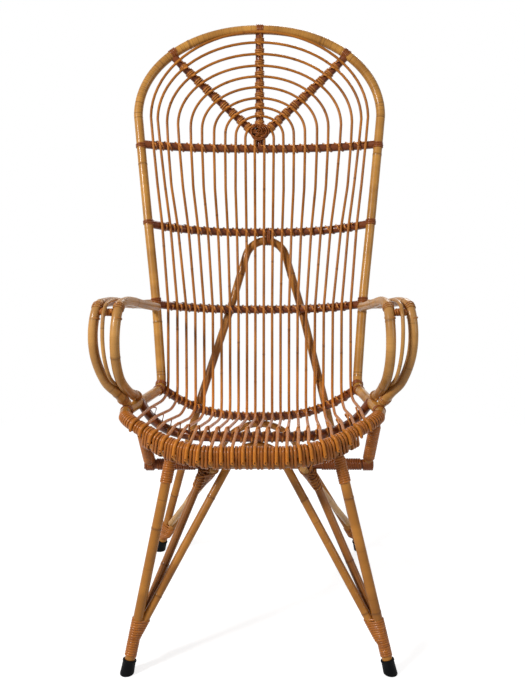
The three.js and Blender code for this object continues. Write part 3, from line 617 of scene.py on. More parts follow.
def squared(run):
    """The upward and outward directions that are square to a run along the rim."""
    rise = (UP - run * UP.dot(run)).normalized()
    return rise, run.cross(rise)


def rim_frame(line, x):
    """Place on the rim at an x, with its upward and outward directions."""
    point, run = crossing(line, x)
    return point, *squared(run)


def rear_rail_point(x):
    share = 1 - min(1, abs(x) / POST_FOOT_HALF) ** BOW_POWER
    end = rear_corner(1)
    return Vector((x, end.y + REAR_RAIL_SETBACK * share, end.z - REAR_RAIL_DROP * share))


def mid_rail_point(x):
    reach = min(1, abs(x) / MID_RAIL_HALF)
    sweep = MID_RAIL_SWEEP * reach ** MID_RAIL_POWER
    return Vector((x, MID_RAIL_Y + sweep, MID_RAIL_Z + MID_RAIL_RISE * reach ** MID_RAIL_RISE_POWER))


def rail_line(half, point_at, steps=60):
    return [point_at(half * (2 * i / steps - 1)) for i in range(steps + 1)]


def clear_along(point_at, x, way, clear):
    """Distance along a direction that clears a rail by an amount measured square to it."""
    nudge = stock().rod / 2
    run = (point_at(x + nudge) - point_at(x - nudge)).normalized()
    return clear / math.sqrt(1 - way.dot(run) ** 2)


def rod_arch_foot_v(k):
    return UPPER_RAIL_V + ROD_ARCH_FOOT_RISE + ROD_ARCH_FOOT_STEP * k


def rod_half(k, v):
    """A rod's half width at a height up the back."""
    low = ROD_SEAT_PITCH * (k + 0.5)
    shoulder = ARCH_HALF * ROD_SHARES[k][1]
    arch_foot = ARCH_HALF * ROD_SHARES[k][2]
    if v < ROD_SHOULDER_V:
        share = max(0, (v - ROD_SPREAD_V) / (ROD_SHOULDER_V - ROD_SPREAD_V))
        return low + (shoulder - low) * share ** ROD_SPREAD_POWER
    share = min(1, (v - ROD_SHOULDER_V) / (rod_arch_foot_v(k) - ROD_SHOULDER_V))
    return shoulder + (arch_foot - shoulder) * share


def rod_arch(k, angle):
    """A rod's half width and height at a turn of its arch, from its foot to its top."""
    foot = rod_arch_foot_v(k)
    rise = (CROWN_V - foot) * ROD_SHARES[k][3]
    return rod_half(k, foot) * math.cos(angle), foot + rise * math.sin(angle)


def rod_seat_places(k, line):
    """Where a rod passes the rim, the mid rail and the rear rail, with the rails' own places."""
    clear_rail = apart(stock().rail_pole, stock().rod) + ROD_KINK_ROOM
    rim, rise, out = rim_frame(line, SEAT_CORNER.x * ROD_SHARES[k][0])
    low = rod_half(k, 0)
    rear = rear_rail_point(low)
    mid_x = low
    for _ in range(SOLVER_ROUNDS):
        mid_x = rim.x + (low - rim.x) * (mid_rail_point(mid_x).y - rim.y) / (rear.y - rim.y)
    mid = mid_rail_point(mid_x)
    over_mid = mid + UP * clear_along(mid_rail_point, mid_x, UP, clear_rail)
    sag_share = (rear.y - ROD_SAG_Y) / (rear.y - over_mid.y)
    sag_rise = ROD_SAG_RISE * (k / (len(ROD_SHARES) - 1)) ** ROD_SAG_POWER
    sag = Vector((low + (mid_x - low) * sag_share, ROD_SAG_Y, ROD_SAG_Z + sag_rise))
    first = rod_on_back(rod_half(k, LOWER_RAIL_V), LOWER_RAIL_V)
    ahead = (sag - rear).normalized()
    above = (first - rear).normalized()
    inward = (ahead + above).normalized()
    turn = math.pi - ahead.angle(above)
    clear = clear_along(rear_rail_point, low, inward, clear_rail)
    return {"rim": rim, "rise": rise, "out": out, "mid": mid, "over_mid": over_mid, "sag": sag,
            "rear": rear, "over_rear": rear + inward * clear,
            "seat_corner": rear + inward * (clear - ROD_SEAT_BEND * (1 / math.cos(turn / 2) - 1))}


def rod_tip_drop(k):
    """How far a rod's end comes down over the rim, less so for the outer ones."""
    outer = max(0, k - ROD_TIP_SHORTER_FROM) / (len(ROD_SHARES) - 1 - ROD_TIP_SHORTER_FROM)
    return ROD_TIP_DROP - ROD_TIP_SHORTER * outer


def rod_line(k, line):
    """A rod's whole centreline, from one end over the rim to the other."""
    at = rod_seat_places(k, line)
    off_rim = apart(stock().heavy_pole, stock().rod)
    over_rim = at["rim"] + at["rise"] * off_rim
    corners = [
        (at["rim"] + at["out"] * off_rim - at["rise"] * rod_tip_drop(k), 0),
        (over_rim + at["out"] * off_rim, ROD_TIP_BEND),
        (over_rim, ROD_RIM_BEND),
        (at["over_mid"], ROD_MID_BEND),
        (at["sag"], ROD_SAG_BEND),
        (at["seat_corner"], ROD_SEAT_BEND),
    ]
    for v in (LOWER_RAIL_V, MIDDLE_RAIL_V, (MIDDLE_RAIL_V + UPPER_RAIL_V) / 2, UPPER_RAIL_V):
        corners.append((rod_on_back(rod_half(k, v), v), ROD_EASE_BEND))
    steps = 18
    for i in range(steps + 1):
        corners.append((rod_on_back(*rod_arch(k, math.pi / 2 * i / steps)), 0))
    return [skewed(p) for p in both_sides(bent_line(corners))]


def spoke_place(end_x, share):
    """A spoke's place at a share of its way from the hub, or from the upper rail, to the arch."""
    start = HUB_V if end_x else UPPER_RAIL_V
    end = arch_v(end_x) - (SPOKE_END_DROP if end_x else 0)
    return end_x * share, start + (end - start) * share


def at_height(a, b, z):
    """Where the straight run between two places passes a height."""
    return a.lerp(b, (z - a.z) / (b.z - a.z))


class Pole:
    """A straight pole from one place to another."""

    def __init__(self, start, end, radius, foot=None):
        self.start = start
        self.end = end
        self.line = [start, end]
        self.radius = radius
        self.foot = foot

    def at_height(self, z):
        return at_height(self.start, self.end, z)


def leg_to(foot, top):
    """A leg from just above the floor, inside its cap, to a place at the seat."""
    return Pole(foot.lerp(top, LEG_END_Z / top.z), top, stock().leg_pole / 2, foot)


def front_leg(side):
    point, _, out = rim_frame(front_line(), side * FRONT_LEG_TOP_HALF)
    setback = (stock().heavy_pole + stock().leg_pole) / 2 + FRONT_LEG_ROOM + 3 * AIR
    top = skewed_by(point - out * setback - UP * FRONT_LEG_TOP_DROP, FRONT_LEG_SKEW)
    return leg_to(Vector((side * FRONT_FOOT_HALF, 0, 0)), top)


def rear_leg(side):
    behind = rear_rail_point(side * REAR_KNEE_HALF + REAR_KNEE_SHIFT)
    knee = behind + OFF_SLOPE * apart(stock().leg_pole, stock().rail_pole)
    return leg_to(Vector((side * REAR_FOOT_HALF, REAR_FOOT_Y, 0)), knee)


def back_brace_top():
    return on_back(BACK_BRACE_SHIFT, MIDDLE_RAIL_V - BACK_BRACE_TOP_DROP,
                   bow_at(0, MIDDLE_RAIL_V) + BACK_BRACE_TOP_SETBACK)


def back_brace_sway(side):
    """Where the back brace passes behind the lower rail."""
    x = side * BACK_BRACE_HALF + BACK_BRACE_SHIFT
    rail = back_rail(LOWER_RAIL_V)
    clear = apart(stock().leg_pole, stock().rail_pole)
    return rail(x) + OFF_SLOPE * clear_along(rail, x, OFF_SLOPE, clear)


def back_brace_line():
    corner = arch_corner(back_brace_sway(1), back_brace_sway(-1), back_brace_top(), BACK_BRACE_BEND)
    halves = []
    for side in (1, -1):
        leg, sway = rear_leg(side), back_brace_sway(side)
        halves.append([(leg.start, 0), (leg.end, REAR_KNEE_BEND), (sway, BACK_BRACE_SWAY_BEND)])
    return bent_line([*halves[0], (corner, BACK_BRACE_BEND), *reversed(halves[1])])


def arched_line(foot, top, bend):
    other = Vector((2 * top.x - foot.x, foot.y, foot.z))
    return bent_line([(foot, 0), (arch_corner(foot, other, top, bend), bend), (other, 0)])


def front_brace_foot(side):
    return Vector((side * FRONT_BRACE_FOOT_HALF - FRONT_POLES_SHIFT, FRONT_BRACE_FOOT_Y, BUNDLE_Z))


def front_brace_top():
    return mid_rail_point(-FRONT_POLES_SHIFT) - UP * apart(stock().rail_pole, stock().brace_pole)


def front_brace_line():
    """The front brace, which ends inside the foot wraps at both feet."""
    line = arched_line(front_brace_foot(1), front_brace_top(), FRONT_BRACE_BEND)
    for _ in range(2):
        first = next(i for i, p in enumerate(line) if p.z > FRONT_BUNDLE_END_Z)
        raised = at_height(line[first - 1], line[first], FRONT_BUNDLE_END_Z)
        line = [raised, *line[first:]][::-1]
    return line


def rear_brace_foot(side):
    return beside(side, REAR_BRACE_FOOT)


def rear_brace_top():
    return rear_rail_point(0) - UP * apart(stock().rail_pole, stock().brace_pole)


def on_cross_rail(x, rise=0.0):
    return Vector((x, CROSS_RAIL_Y, CROSS_RAIL_Z + rise))


def front_stay(side):
    foot = Vector((side * FRONT_STAY_FOOT_HALF, FRONT_STAY_FOOT_Y, BUNDLE_Z))
    top = on_cross_rail(side * FRONT_STAY_TOP_HALF - FRONT_POLES_SHIFT, -stock().rail_pole / 2)
    return Pole(at_height(foot, top, FRONT_BUNDLE_END_Z), top, stock().brace_pole / 2)


def rear_stay(side):
    start = beside(side, REAR_STAY_FOOT)
    rise = CROSS_RAIL_Z - start.z
    depth = start.y - CROSS_RAIL_Y
    drop = apart(stock().rail_pole, stock().thin_pole) * math.hypot(rise, depth) / depth
    under = on_cross_rail(side * REAR_STAY_CROSS_HALF, -drop)
    end = under + (under - start).normalized() * REAR_STAY_OVERSHOOT
    return Pole(start, end, stock().thin_pole / 2)


def side_post(side):
    line = [skewed(p) for p in front_line()]
    top = crossing(line, side * SIDE_POST_TOP_HALF + SIDE_POST_TOP_SHIFT)[0]
    return Pole(on_cross_rail(side * SIDE_POST_FOOT_HALF), top, stock().leg_pole / 2)


def cross_pole():
    return Pole(on_cross_rail(-CROSS_RAIL_HALF), on_cross_rail(CROSS_RAIL_HALF), stock().rail_pole / 2)


def through_points(points, steps=8):
    """A centripetal spline through points."""
    ends = [2 * points[0] - points[1], *points, 2 * points[-1] - points[-2]]
    line = [points[0]]
    for a, b, c, d in zip(ends, ends[1:], ends[2:], ends[3:]):
        gaps = [math.sqrt((q - p).length) for p, q in ((a, b), (b, c), (c, d))]
        leave = ((b - a) / gaps[0] - (c - a) / (gaps[0] + gaps[1]) + (c - b) / gaps[1]) * gaps[1]
        arrive = ((c - b) / gaps[1] - (d - b) / (gaps[1] + gaps[2]) + (d - c) / gaps[2]) * gaps[1]
        for i in range(1, steps + 1):
            t = i / steps
            line.append(b * (2 * t ** 3 - 3 * t ** 2 + 1) + leave * (t ** 3 - 2 * t ** 2 + t)
                        + c * (3 * t ** 2 - 2 * t ** 3) + arrive * (t ** 3 - t ** 2))
    return line


def arm_line(shares, side):
    points = []
    for spread, reach, climb in shares:
        x = ARM_POST_HALF + spread * ARM_SPREAD
        p = Vector((side * x, ARM_POST_Y - reach * ARM_REACH, ARM_SEAT_Z + climb * ARM_CLIMB))
        points.append(skewed_by(p, ARM_SKEW))
    return through_points(points)


def falls_through(line, z):
    """Where a line first comes down through a height."""
    for a, b in zip(line, line[1:]):
        if a.z >= z > b.z:
            return at_height(a, b, z)
    raise ValueError("the line never comes down so far")


class Route:
    """A centreline read by the distance along it."""

    def __init__(self, points):
        self.points = points
        self.marks = [0.0]
        for a, b in zip(points, points[1:]):
            self.marks.append(self.marks[-1] + (b - a).length)
        self.length = self.marks[-1]

    def at(self, distance):
        i = min(len(self.points) - 2, max(0, bisect_right(self.marks, distance) - 1))
        share = (distance - self.marks[i]) / (self.marks[i + 1] - self.marks[i])
        return self.points[i].lerp(self.points[i + 1], share)

    def run(self, distance, reach=0.002):
        return (self.at(min(self.length, distance + reach)) - self.at(max(0, distance - reach))).normalized()

    def nearest(self, place):
        return min(self.marks, key=lambda mark: (self.at(mark) - place).length)


# Stations: what a pole or a strand of cane is swept from

def growth_rings(line, seed, spacing):
    """Distances of a pole's growth rings, unevenly spaced."""
    draw = random.Random(seed)
    length = Route(line).length
    rings = []
    place = draw.uniform(*FIRST_RING_SHARES) * spacing
    while place < length:
        rings.append(place)
        place += spacing * draw.uniform(*NEXT_RING_SHARES)
    return rings


def pole_stations(points, radius, rings=(), step=POLE_STEP, round_reach=SAWN_ROUND,
                  end_share=SAWN_SHARE, taper=None):
    """Points along a pole, with its radius and how much of a growth ring and a bend is there."""
    route = Route(points)
    count = max(2, math.ceil(route.length / step))
    places = {route.length * i / count for i in range(count + 1)}
    for ring in rings:
        places.update(ring + RING_REACH * i for i in RING_READINGS)
    for i in range(1, SAWN_READINGS + 1):
        reach = round_reach * (i / SAWN_READINGS) ** SAWN_CROWDING
        places.update((reach, route.length - reach))
    stations = []
    last = -math.inf
    for place in sorted(p for p in places if 0 <= p <= route.length):
        if place - last < LEAST_STEP and place < route.length:
            continue
        last = place
        before, after = max(0, place - BEND_REACH), min(route.length, place + BEND_REACH)
        turned = route.run(before).angle(route.run(after), 0)
        ring = sum(math.exp(-((place - r) / RING_REACH) ** 2) for r in rings)
        inset = min(1, min(place, route.length - place) / round_reach)
        rounding = end_share + (1 - end_share) * math.sqrt(max(0, 1 - (1 - inset) ** 2))
        size = radius * (1 + RING_SWELL * ring) * rounding
        if taper and place < taper[0]:
            size *= taper[1] + (1 - taper[1]) * place / taper[0]
        stations.append({"point": route.at(place), "radius": size, "ring": min(1, ring),
                         "bend": min(1, turned / (2 * BEND_REACH) * BEND_RADIUS_SEEN)})
    return stations


def strand_lift(i, steps, lift):
    """How far a strand's middle is off its pole. It dives under itself at both ends."""
    dive = min(1, min(i, steps - i) / (TURN_STEPS / 4))
    return lift * dive - (1 - dive) * cane().thick


def coil_stations(points, radius, start, stop, pitch, lift=None):
    """A strand wound round one pole."""
    route = Route(points)
    steps = TURN_STEPS * max(1, round((stop - start) / pitch))
    run = route.run(start)
    side = run.orthogonal().normalized()
    stations = []
    for i in range(steps + 1):
        place = start + (stop - start) * i / steps
        onward = route.run(place)
        side = (run.rotation_difference(onward) @ side).normalized()
        run = onward
        outward = Quaternion(run, 2 * math.pi * i / TURN_STEPS) @ side
        height = radius + strand_lift(i, steps, lift or cane().thick / 2)
        stations.append({"point": route.at(place) + outward * height, "outward": outward})
    return stations


def touch_point(pole, place, axis, way, room):
    """Where a pole's outside, cut square to an axis at a place, reaches furthest one way.

    Past the pole's end the strand draws in towards the place itself.
    """
    run = (pole.end - pole.start).normalized()
    share = (place - pole.start).dot(axis) / run.dot(axis)
    if share < 0:
        past = min(1, -share / WRAP_DRAW_IN)
        level = pole.start + axis * ((place - pole.start).dot(axis))
        return level.lerp(place, past) + way * (pole.radius + room)
    middle = pole.start + run * share
    square = (way - axis * (run.dot(way) / run.dot(axis))).normalized()
    out = square * (pole.radius + room)
    return middle + out - run * (out.dot(axis) / run.dot(axis))


def wrap_stations(start, stop, pitch, poles):
    """A strand wound round several poles together, from one place to another."""
    axis = (stop - start).normalized()
    front = (FORWARD - axis * FORWARD.dot(axis)).normalized()
    side = axis.cross(front)
    steps = TURN_STEPS * max(1, round((stop - start).length / pitch))
    stations = []
    for i in range(steps + 1):
        place = start.lerp(stop, i / steps)
        angle = 2 * math.pi * i / TURN_STEPS
        way = front * math.cos(angle) + side * math.sin(angle)
        room = strand_lift(i, steps, cane().thick / 2)
        touches = [touch_point(pole, place, axis, way, room) for pole in poles]
        stations.append({"point": max(touches, key=way.dot), "outward": way})
    return stations


def over_rod(offset, high):
    """How far round the rail a lashing is as it passes a rod, and how much it is lifted."""
    share = offset / (LASH_BEFORE if offset < 0 else LASH_AFTER)
    slant = LASH_SLANT * abs(share)
    near = abs(offset) / LASH_AFTER
    lifted = 1 - eased((near - LASH_FALL_FROM) / (1 - LASH_FALL_FROM))
    return high + (slant if offset < 0 else -slant), lifted


def lashing_places(pitch, spare_turns, high):
    """A lashing from one rod to the next: the way along, how far round the rail, and its lift."""
    over_steps, behind_steps, climb_steps = LASH_STEPS
    turned = 2 * math.pi * (1 + spare_turns)
    before = min(LASH_BEFORE, pitch - LASH_AFTER - LASH_GAP)
    behind = pitch - before - LASH_AFTER
    places = []
    for i in range(over_steps):
        offset = LASH_AFTER * i / over_steps
        places.append((offset, *over_rod(offset, high)))
    leave = over_rod(LASH_AFTER, high)[0]
    arrive = over_rod(-before, high)[0] - turned
    steps = behind_steps + TURN_STEPS * spare_turns
    for i in range(steps):
        places.append((LASH_AFTER + behind * (i / steps), leave + (arrive - leave) * (i / steps), 0))
    for i in range(climb_steps):
        offset = -before * (1 - i / climb_steps)
        angle, over = over_rod(offset, high)
        places.append((pitch + offset, angle - turned, over))
    return places


def lashing_stations(crossings, rail_radius, rod_radius, spare_turns, high):
    """A strand that runs along a rail and ties every rod that crosses it.

    Each crossing is the rail's place and the rod's place over it. The strand slants down over
    the rod, passes behind the rail, and comes over the top to the next one.
    """
    stations = []
    for (rail_a, rod_a), (rail_b, rod_b) in zip(crossings, crossings[1:]):
        run = (rail_b - rail_a).normalized()
        pitch = (rail_b - rail_a).length
        normal_a = (rod_a - rail_a).normalized()
        normal_b = (rod_b - rail_b).normalized()
        for along, angle, over in lashing_places(pitch, spare_turns, high):
            normal = normal_a.lerp(normal_b, along / pitch)
            normal = (normal - run * normal.dot(run)).normalized()
            upward = UP_SLOPE - run * UP_SLOPE.dot(run)
            upward = upward - normal * upward.dot(normal)
            # Along the middle spoke nothing points up, so the strand starts from its side
            if upward.length < LEAST_UPWARD:
                upward = run.cross(normal)
            outward = normal * math.cos(angle) + upward.normalized() * math.sin(angle)
            to_rod_top = (rail_radius + 2 * (rod_radius + AIR)) / max(LEAST_COSINE, math.cos(angle))
            height = rail_radius + cane().thick / 2 + (to_rod_top - rail_radius) * over
            # over: how near the strand is to a rod it climbs; the cane's finish paints a highlight there
            stations.append({"point": rail_a + run * along + outward * height, "outward": outward,
                             "over": max(0, 1 - min(along, pitch - along) / LASH_BEFORE)})
    return stations


# Node trees

class Wire:
    """A node's output, so that sums on it are written as plain expressions."""

    def __init__(self, nodes, socket):
        self.nodes = nodes
        self.socket = socket

    def sum(self, operation, a, b):
        return self.nodes.add("ShaderNodeMath", {0: a, 1: b}, operation=operation)

    def __add__(self, other):
        return self.sum("ADD", self, other)

    def __radd__(self, other):
        return self.sum("ADD", other, self)

    def __sub__(self, other):
        return self.sum("SUBTRACT", self, other)

    def __rsub__(self, other):
        return self.sum("SUBTRACT", other, self)

    def __mul__(self, other):
        return self.sum("MULTIPLY", self, other)

    def __rmul__(self, other):
        return self.sum("MULTIPLY", other, self)

    def __gt__(self, other):
        return self.sum("GREATER_THAN", self, other)


class Nodes:
    """Adds nodes to one tree."""

    def __init__(self, tree):
        self.tree = tree
        self.tree.nodes.clear()

    def add(self, kind, sockets=None, out=0, **settings):
        """Adds a node: its type, what feeds its sockets, the output wanted and its settings."""
        node = self.tree.nodes.new(kind)
        for name, value in settings.items():
            setattr(node, name, value)
        for key, value in (sockets or {}).items():
            socket = self.find(node.inputs, key)
            if isinstance(value, Wire):
                self.tree.links.new(value.socket, socket)
            else:
                socket.default_value = value
        return Wire(self, self.find(node.outputs, out)) if node.outputs else node

    def find(self, sockets, key):
        if isinstance(key, int):
            return sockets[key]
        return next(s for s in sockets if s.enabled and key in (s.identifier, s.name))


def new_group(name, sizes):
    """A geometry tree for a path, its sizes and a material, with its nodes and its inputs by name."""
    tree = bpy.data.node_groups.new(name, "GeometryNodeTree")

    def socket(label, kind, way="INPUT"):
        return tree.interface.new_socket(label, in_out=way, socket_type=f"NodeSocket{kind}")

    socket("Path", "Geometry")
    for label, default in sizes.items():
        socket(label, "Int" if isinstance(default, int) else "Float").default_value = default
    socket("Material", "Material")
    socket("Geometry", "Geometry", "OUTPUT")
    nodes = Nodes(tree)
    group = tree.nodes.new("NodeGroupInput")
    return tree, nodes, {s.name: Wire(nodes, s) for s in group.outputs if s.name}


def named(nodes, name, kind="FLOAT"):
    return nodes.add("GeometryNodeInputNamedAttribute", {"Name": name}, "Attribute", data_type=kind)


def store(nodes, geometry, name, value, kind="FLOAT"):
    return nodes.add("GeometryNodeStoreNamedAttribute", {"Geometry": geometry, "Name": name, "Value": value},
                     "Geometry", data_type=kind, domain="POINT")


def finish_sweep(nodes, mesh, material, sharp_angle):
    """Smooth sides with crisp ends, then real geometry and its material."""
    smooth = nodes.add("GeometryNodeSetShadeSmooth", {"Geometry": mesh, "Shade Smooth": True}, domain="FACE")
    angle = nodes.add("GeometryNodeInputMeshEdgeAngle", out="Unsigned Angle")
    crisp = nodes.add("GeometryNodeSetShadeSmooth", {
        "Geometry": smooth, "Selection": angle > sharp_angle, "Shade Smooth": False}, domain="EDGE")
    real = nodes.add("GeometryNodeRealizeInstances", {"Geometry": crisp})
    done = nodes.add("GeometryNodeSetMaterial", {"Geometry": real, "Material": material})
    nodes.add("NodeGroupOutput", {"Geometry": done})


def sweep(nodes, given, curve, profile, across, deep, sharp_angle, scale=None):
    """Sweeps a section along a curve, and keeps straight coordinates of the stock in the mesh.

    They run across and deep in the section, and along the stock.
    """
    curve = store(nodes, curve, "along", nodes.add("GeometryNodeSplineParameter", out="Length"))
    profile = store(nodes, profile, "turn", nodes.add("GeometryNodeSplineParameter", out="Factor"))
    mesh = nodes.add("GeometryNodeCurveToMesh", {
        "Curve": curve, "Profile Curve": profile, "Fill Caps": True, **(scale or {})})
    turn = named(nodes, "turn") * (2 * math.pi)
    cosine, sine = (nodes.add("ShaderNodeMath", {0: turn}, operation=kind) for kind in ("COSINE", "SINE"))
    grain = nodes.add("ShaderNodeCombineXYZ", {
        "X": cosine * across, "Y": sine * deep, "Z": named(nodes, "along") + given["Grain start"]})
    mesh = store(nodes, mesh, "grain", grain, "FLOAT_VECTOR")
    finish_sweep(nodes, mesh, given["Material"], sharp_angle)


def pole_tree():
    """Sweeps a round section along a path, by the path's own radius."""
    tree, nodes, given = new_group("Pole along a path", {"Sides": POLE_SIDES, "Grain start": 0.0})
    curve = nodes.add("GeometryNodeMeshToCurve", {"Mesh": given["Path"]})
    profile = nodes.add("GeometryNodeCurvePrimitiveCircle", {"Resolution": given["Sides"], "Radius": 1.0})
    radius = named(nodes, "radius")
    sweep(nodes, given, curve, profile, radius, radius, POLE_SHARP_ANGLE, {"Scale": radius})
    return tree


def strand_tree():
    """Sweeps a flat, domed cane section along a path, with its face turned outward."""
    sizes = {"Width": 0.0043, "Thickness": 0.0021, "Grain start": 0.0}
    tree, nodes, given = new_group("Cane along a path", sizes)
    width, thickness = given["Width"], given["Thickness"]
    outward = named(nodes, "outward", "FLOAT_VECTOR")
    curve = nodes.add("GeometryNodeMeshToCurve", {"Mesh": given["Path"]})
    curve = nodes.add("GeometryNodeSetCurveNormal", {"Curve": curve, "Normal": outward}, mode="FREE")
    profile = nodes.add("GeometryNodeCurvePrimitiveCircle", {"Resolution": STRAND_SIDES, "Radius": 0.5})
    section = nodes.add("ShaderNodeCombineXYZ", {"X": thickness, "Y": width, "Z": 1.0})
    profile = nodes.add("GeometryNodeTransform", {"Geometry": profile, "Scale": section})
    sweep(nodes, given, curve, profile, thickness, width, CANE_SHARP_ANGLE)
    return tree


def nail_tree():
    """Sets a small domed nail head on each point, square to its outward direction."""
    tree, nodes, given = new_group("Nail heads on points", {"Radius": NAIL_RADIUS})
    head = nodes.add("GeometryNodeMeshUVSphere", {
        "Segments": NAIL_SIDES, "Rings": NAIL_RINGS, "Radius": given["Radius"]})
    head = nodes.add("GeometryNodeTransform", {"Geometry": head, "Scale": (1, 1, NAIL_FLATNESS)})
    outward = named(nodes, "outward", "FLOAT_VECTOR")
    turned = nodes.add("FunctionNodeAlignRotationToVector", {"Vector": outward}, axis="Z")
    heads = nodes.add("GeometryNodeInstanceOnPoints", {
        "Points": given["Path"], "Instance": head, "Rotation": turned})
    finish_sweep(nodes, heads, given["Material"], CANE_SHARP_ANGLE)
    return tree


def tree_named(name, make):
    return bpy.data.node_groups.get(name) or make()


def origin():
    """Where the maker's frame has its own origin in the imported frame."""
    low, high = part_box("cross_rail")
    middle = (low + high) / 2
    return Vector((middle.x, middle.y - CROSS_RAIL_Y, 0))


def path_mesh(name, paths, *labels):
    """A mesh of open runs of edges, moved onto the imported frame, with values at its points."""
    shift = origin()
    stations = [station for path in paths for station in path]
    edges = []
    first = 0
    for path in paths:
        edges += [(i, i + 1) for i in range(first, first + len(path) - 1)]
        first += len(path)
    mesh = bpy.data.meshes.new(name)
    mesh.from_pydata([s["point"] + shift for s in stations], edges, [])
    for label in labels:
        values = [s.get(label, 0.0) for s in stations]
        if isinstance(values[0], Vector):
            layer = mesh.attributes.new(label, "FLOAT_VECTOR", "POINT")
            layer.data.foreach_set("vector", [part for value in values for part in value])
        else:
            mesh.attributes.new(label, "FLOAT", "POINT").data.foreach_set("value", values)
    return mesh


def new_object(name, data):
    piece = bpy.data.objects.new(name, data)
    bpy.context.scene.collection.objects.link(piece)
    return piece


def grown(name, mesh, tree, values, slot, nodes=()):
    """Runs a tree on a path mesh and keeps the result as a plain mesh that rides on the body."""
    values["Grain start"] = random.Random(name).uniform(0, GRAIN_SPREAD)
    piece = new_object(name, mesh)
    modifier = piece.modifiers.new("Shape", "NODES")
    modifier.node_group = tree
    for item in tree.interface.items_tree:
        if item.in_out == "INPUT" and item.name in values:
            modifier[item.identifier] = values[item.name]
    bpy.context.view_layer.update()
    depsgraph = bpy.context.evaluated_depsgraph_get()
    plain = bpy.data.meshes.new_from_object(piece.evaluated_get(depsgraph),
                                            preserve_all_data_layers=True, depsgraph=depsgraph)
    plain.name = name
    for label in ("turn", "along", "radius", "outward"):
        if label in plain.attributes:
            plain.attributes.remove(plain.attributes[label])
    piece.modifiers.remove(modifier)
    piece.data = plain
    settle(piece, slot, nodes)


def settle(piece, slot, nodes=()):
    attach(piece, BODY)
    if nodes:
        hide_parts(*nodes)


def make_pole(node, line, radius, look, slot, rings=(), sides=POLE_SIDES, ending="pole", **shape):
    """One pole bent along a line, for a node of the frame."""
    name = f"{node}_{ending}"
    mesh = path_mesh(name, [pole_stations(line, radius, rings, **shape)], "radius", "ring", "bend")
    values = {"Sides": sides, "Material": finish(look)}
    grown(name, mesh, tree_named("Pole along a path", pole_tree), values, slot, [node])


def make_cane(name, paths, look, width, thick=None, nodes=()):
    mesh = path_mesh(name, paths, "outward", "over")
    values = {"Width": width, "Thickness": thick or cane().thick, "Material": finish(look)}
    grown(name, mesh, tree_named("Cane along a path", strand_tree), values, "cane", nodes)


def bind(node, paths, look="Orange cane", width=None, thick=None):
    """Cane that binds poles, for a node of the frame."""
    make_cane(f"{node}_cane", paths, look, width or cane().fine, thick, [node])


# Finishes

def new_material(name):
    material = bpy.data.materials.new(name)
    material.use_nodes = True
    return material, Nodes(material.node_tree)


def noise(nodes, vector, scale=1.0, detail=2.0, roughness=0.5):
    sockets = {"Vector": vector, "Scale": scale, "Detail": detail, "Roughness": roughness}
    return nodes.add("ShaderNodeTexNoise", sockets, "Fac", noise_dimensions="3D")


def grain_noise(nodes, across, along, roughness, detail=2.0):
    """Noise that is drawn out along the stock."""
    grain = nodes.add("ShaderNodeAttribute", out="Vector", attribute_name="grain")
    scale = (across, across, along)
    return noise(nodes, nodes.add("ShaderNodeVectorMath", {0: grain, 1: scale}, operation="MULTIPLY"),
                 detail=detail, roughness=roughness)


def marked(nodes, name):
    """How much of a mark, such as a growth ring, the stock has at a place."""
    return nodes.add("ShaderNodeAttribute", out="Fac", attribute_name=name)


def levels(nodes, value, low, high, out_low=0.0, out_high=1.0):
    sockets = {"Value": value, "From Min": low, "From Max": high, "To Min": out_low, "To Max": out_high}
    return nodes.add("ShaderNodeMapRange", sockets, clamp=True)


def blended(nodes, factor, a, b):
    return nodes.add("ShaderNodeMix", {"Factor": factor, "A": a, "B": b}, "Result",
                     data_type="RGBA", blend_type="MIX", clamp_factor=True)


def tone(colour, share, warm=1.0):
    """A colour made darker or lighter, and warmer where red is kept."""
    red, green, blue = colour
    return (min(1, red * share * warm), min(1, green * share), min(1, blue * share / warm), 1)


def shaded(nodes, base, roughness, height, bump, depth, plain):
    """Ends a finish: what varies over it, its bump, and its plain values."""
    normal = nodes.add("ShaderNodeBump", {"Strength": bump, "Distance": depth, "Height": height})
    shader = nodes.add("ShaderNodeBsdfPrincipled", {
        "Base Color": base, "Roughness": roughness, "Normal": normal, **plain})
    nodes.add("ShaderNodeOutputMaterial", {"Surface": shader})


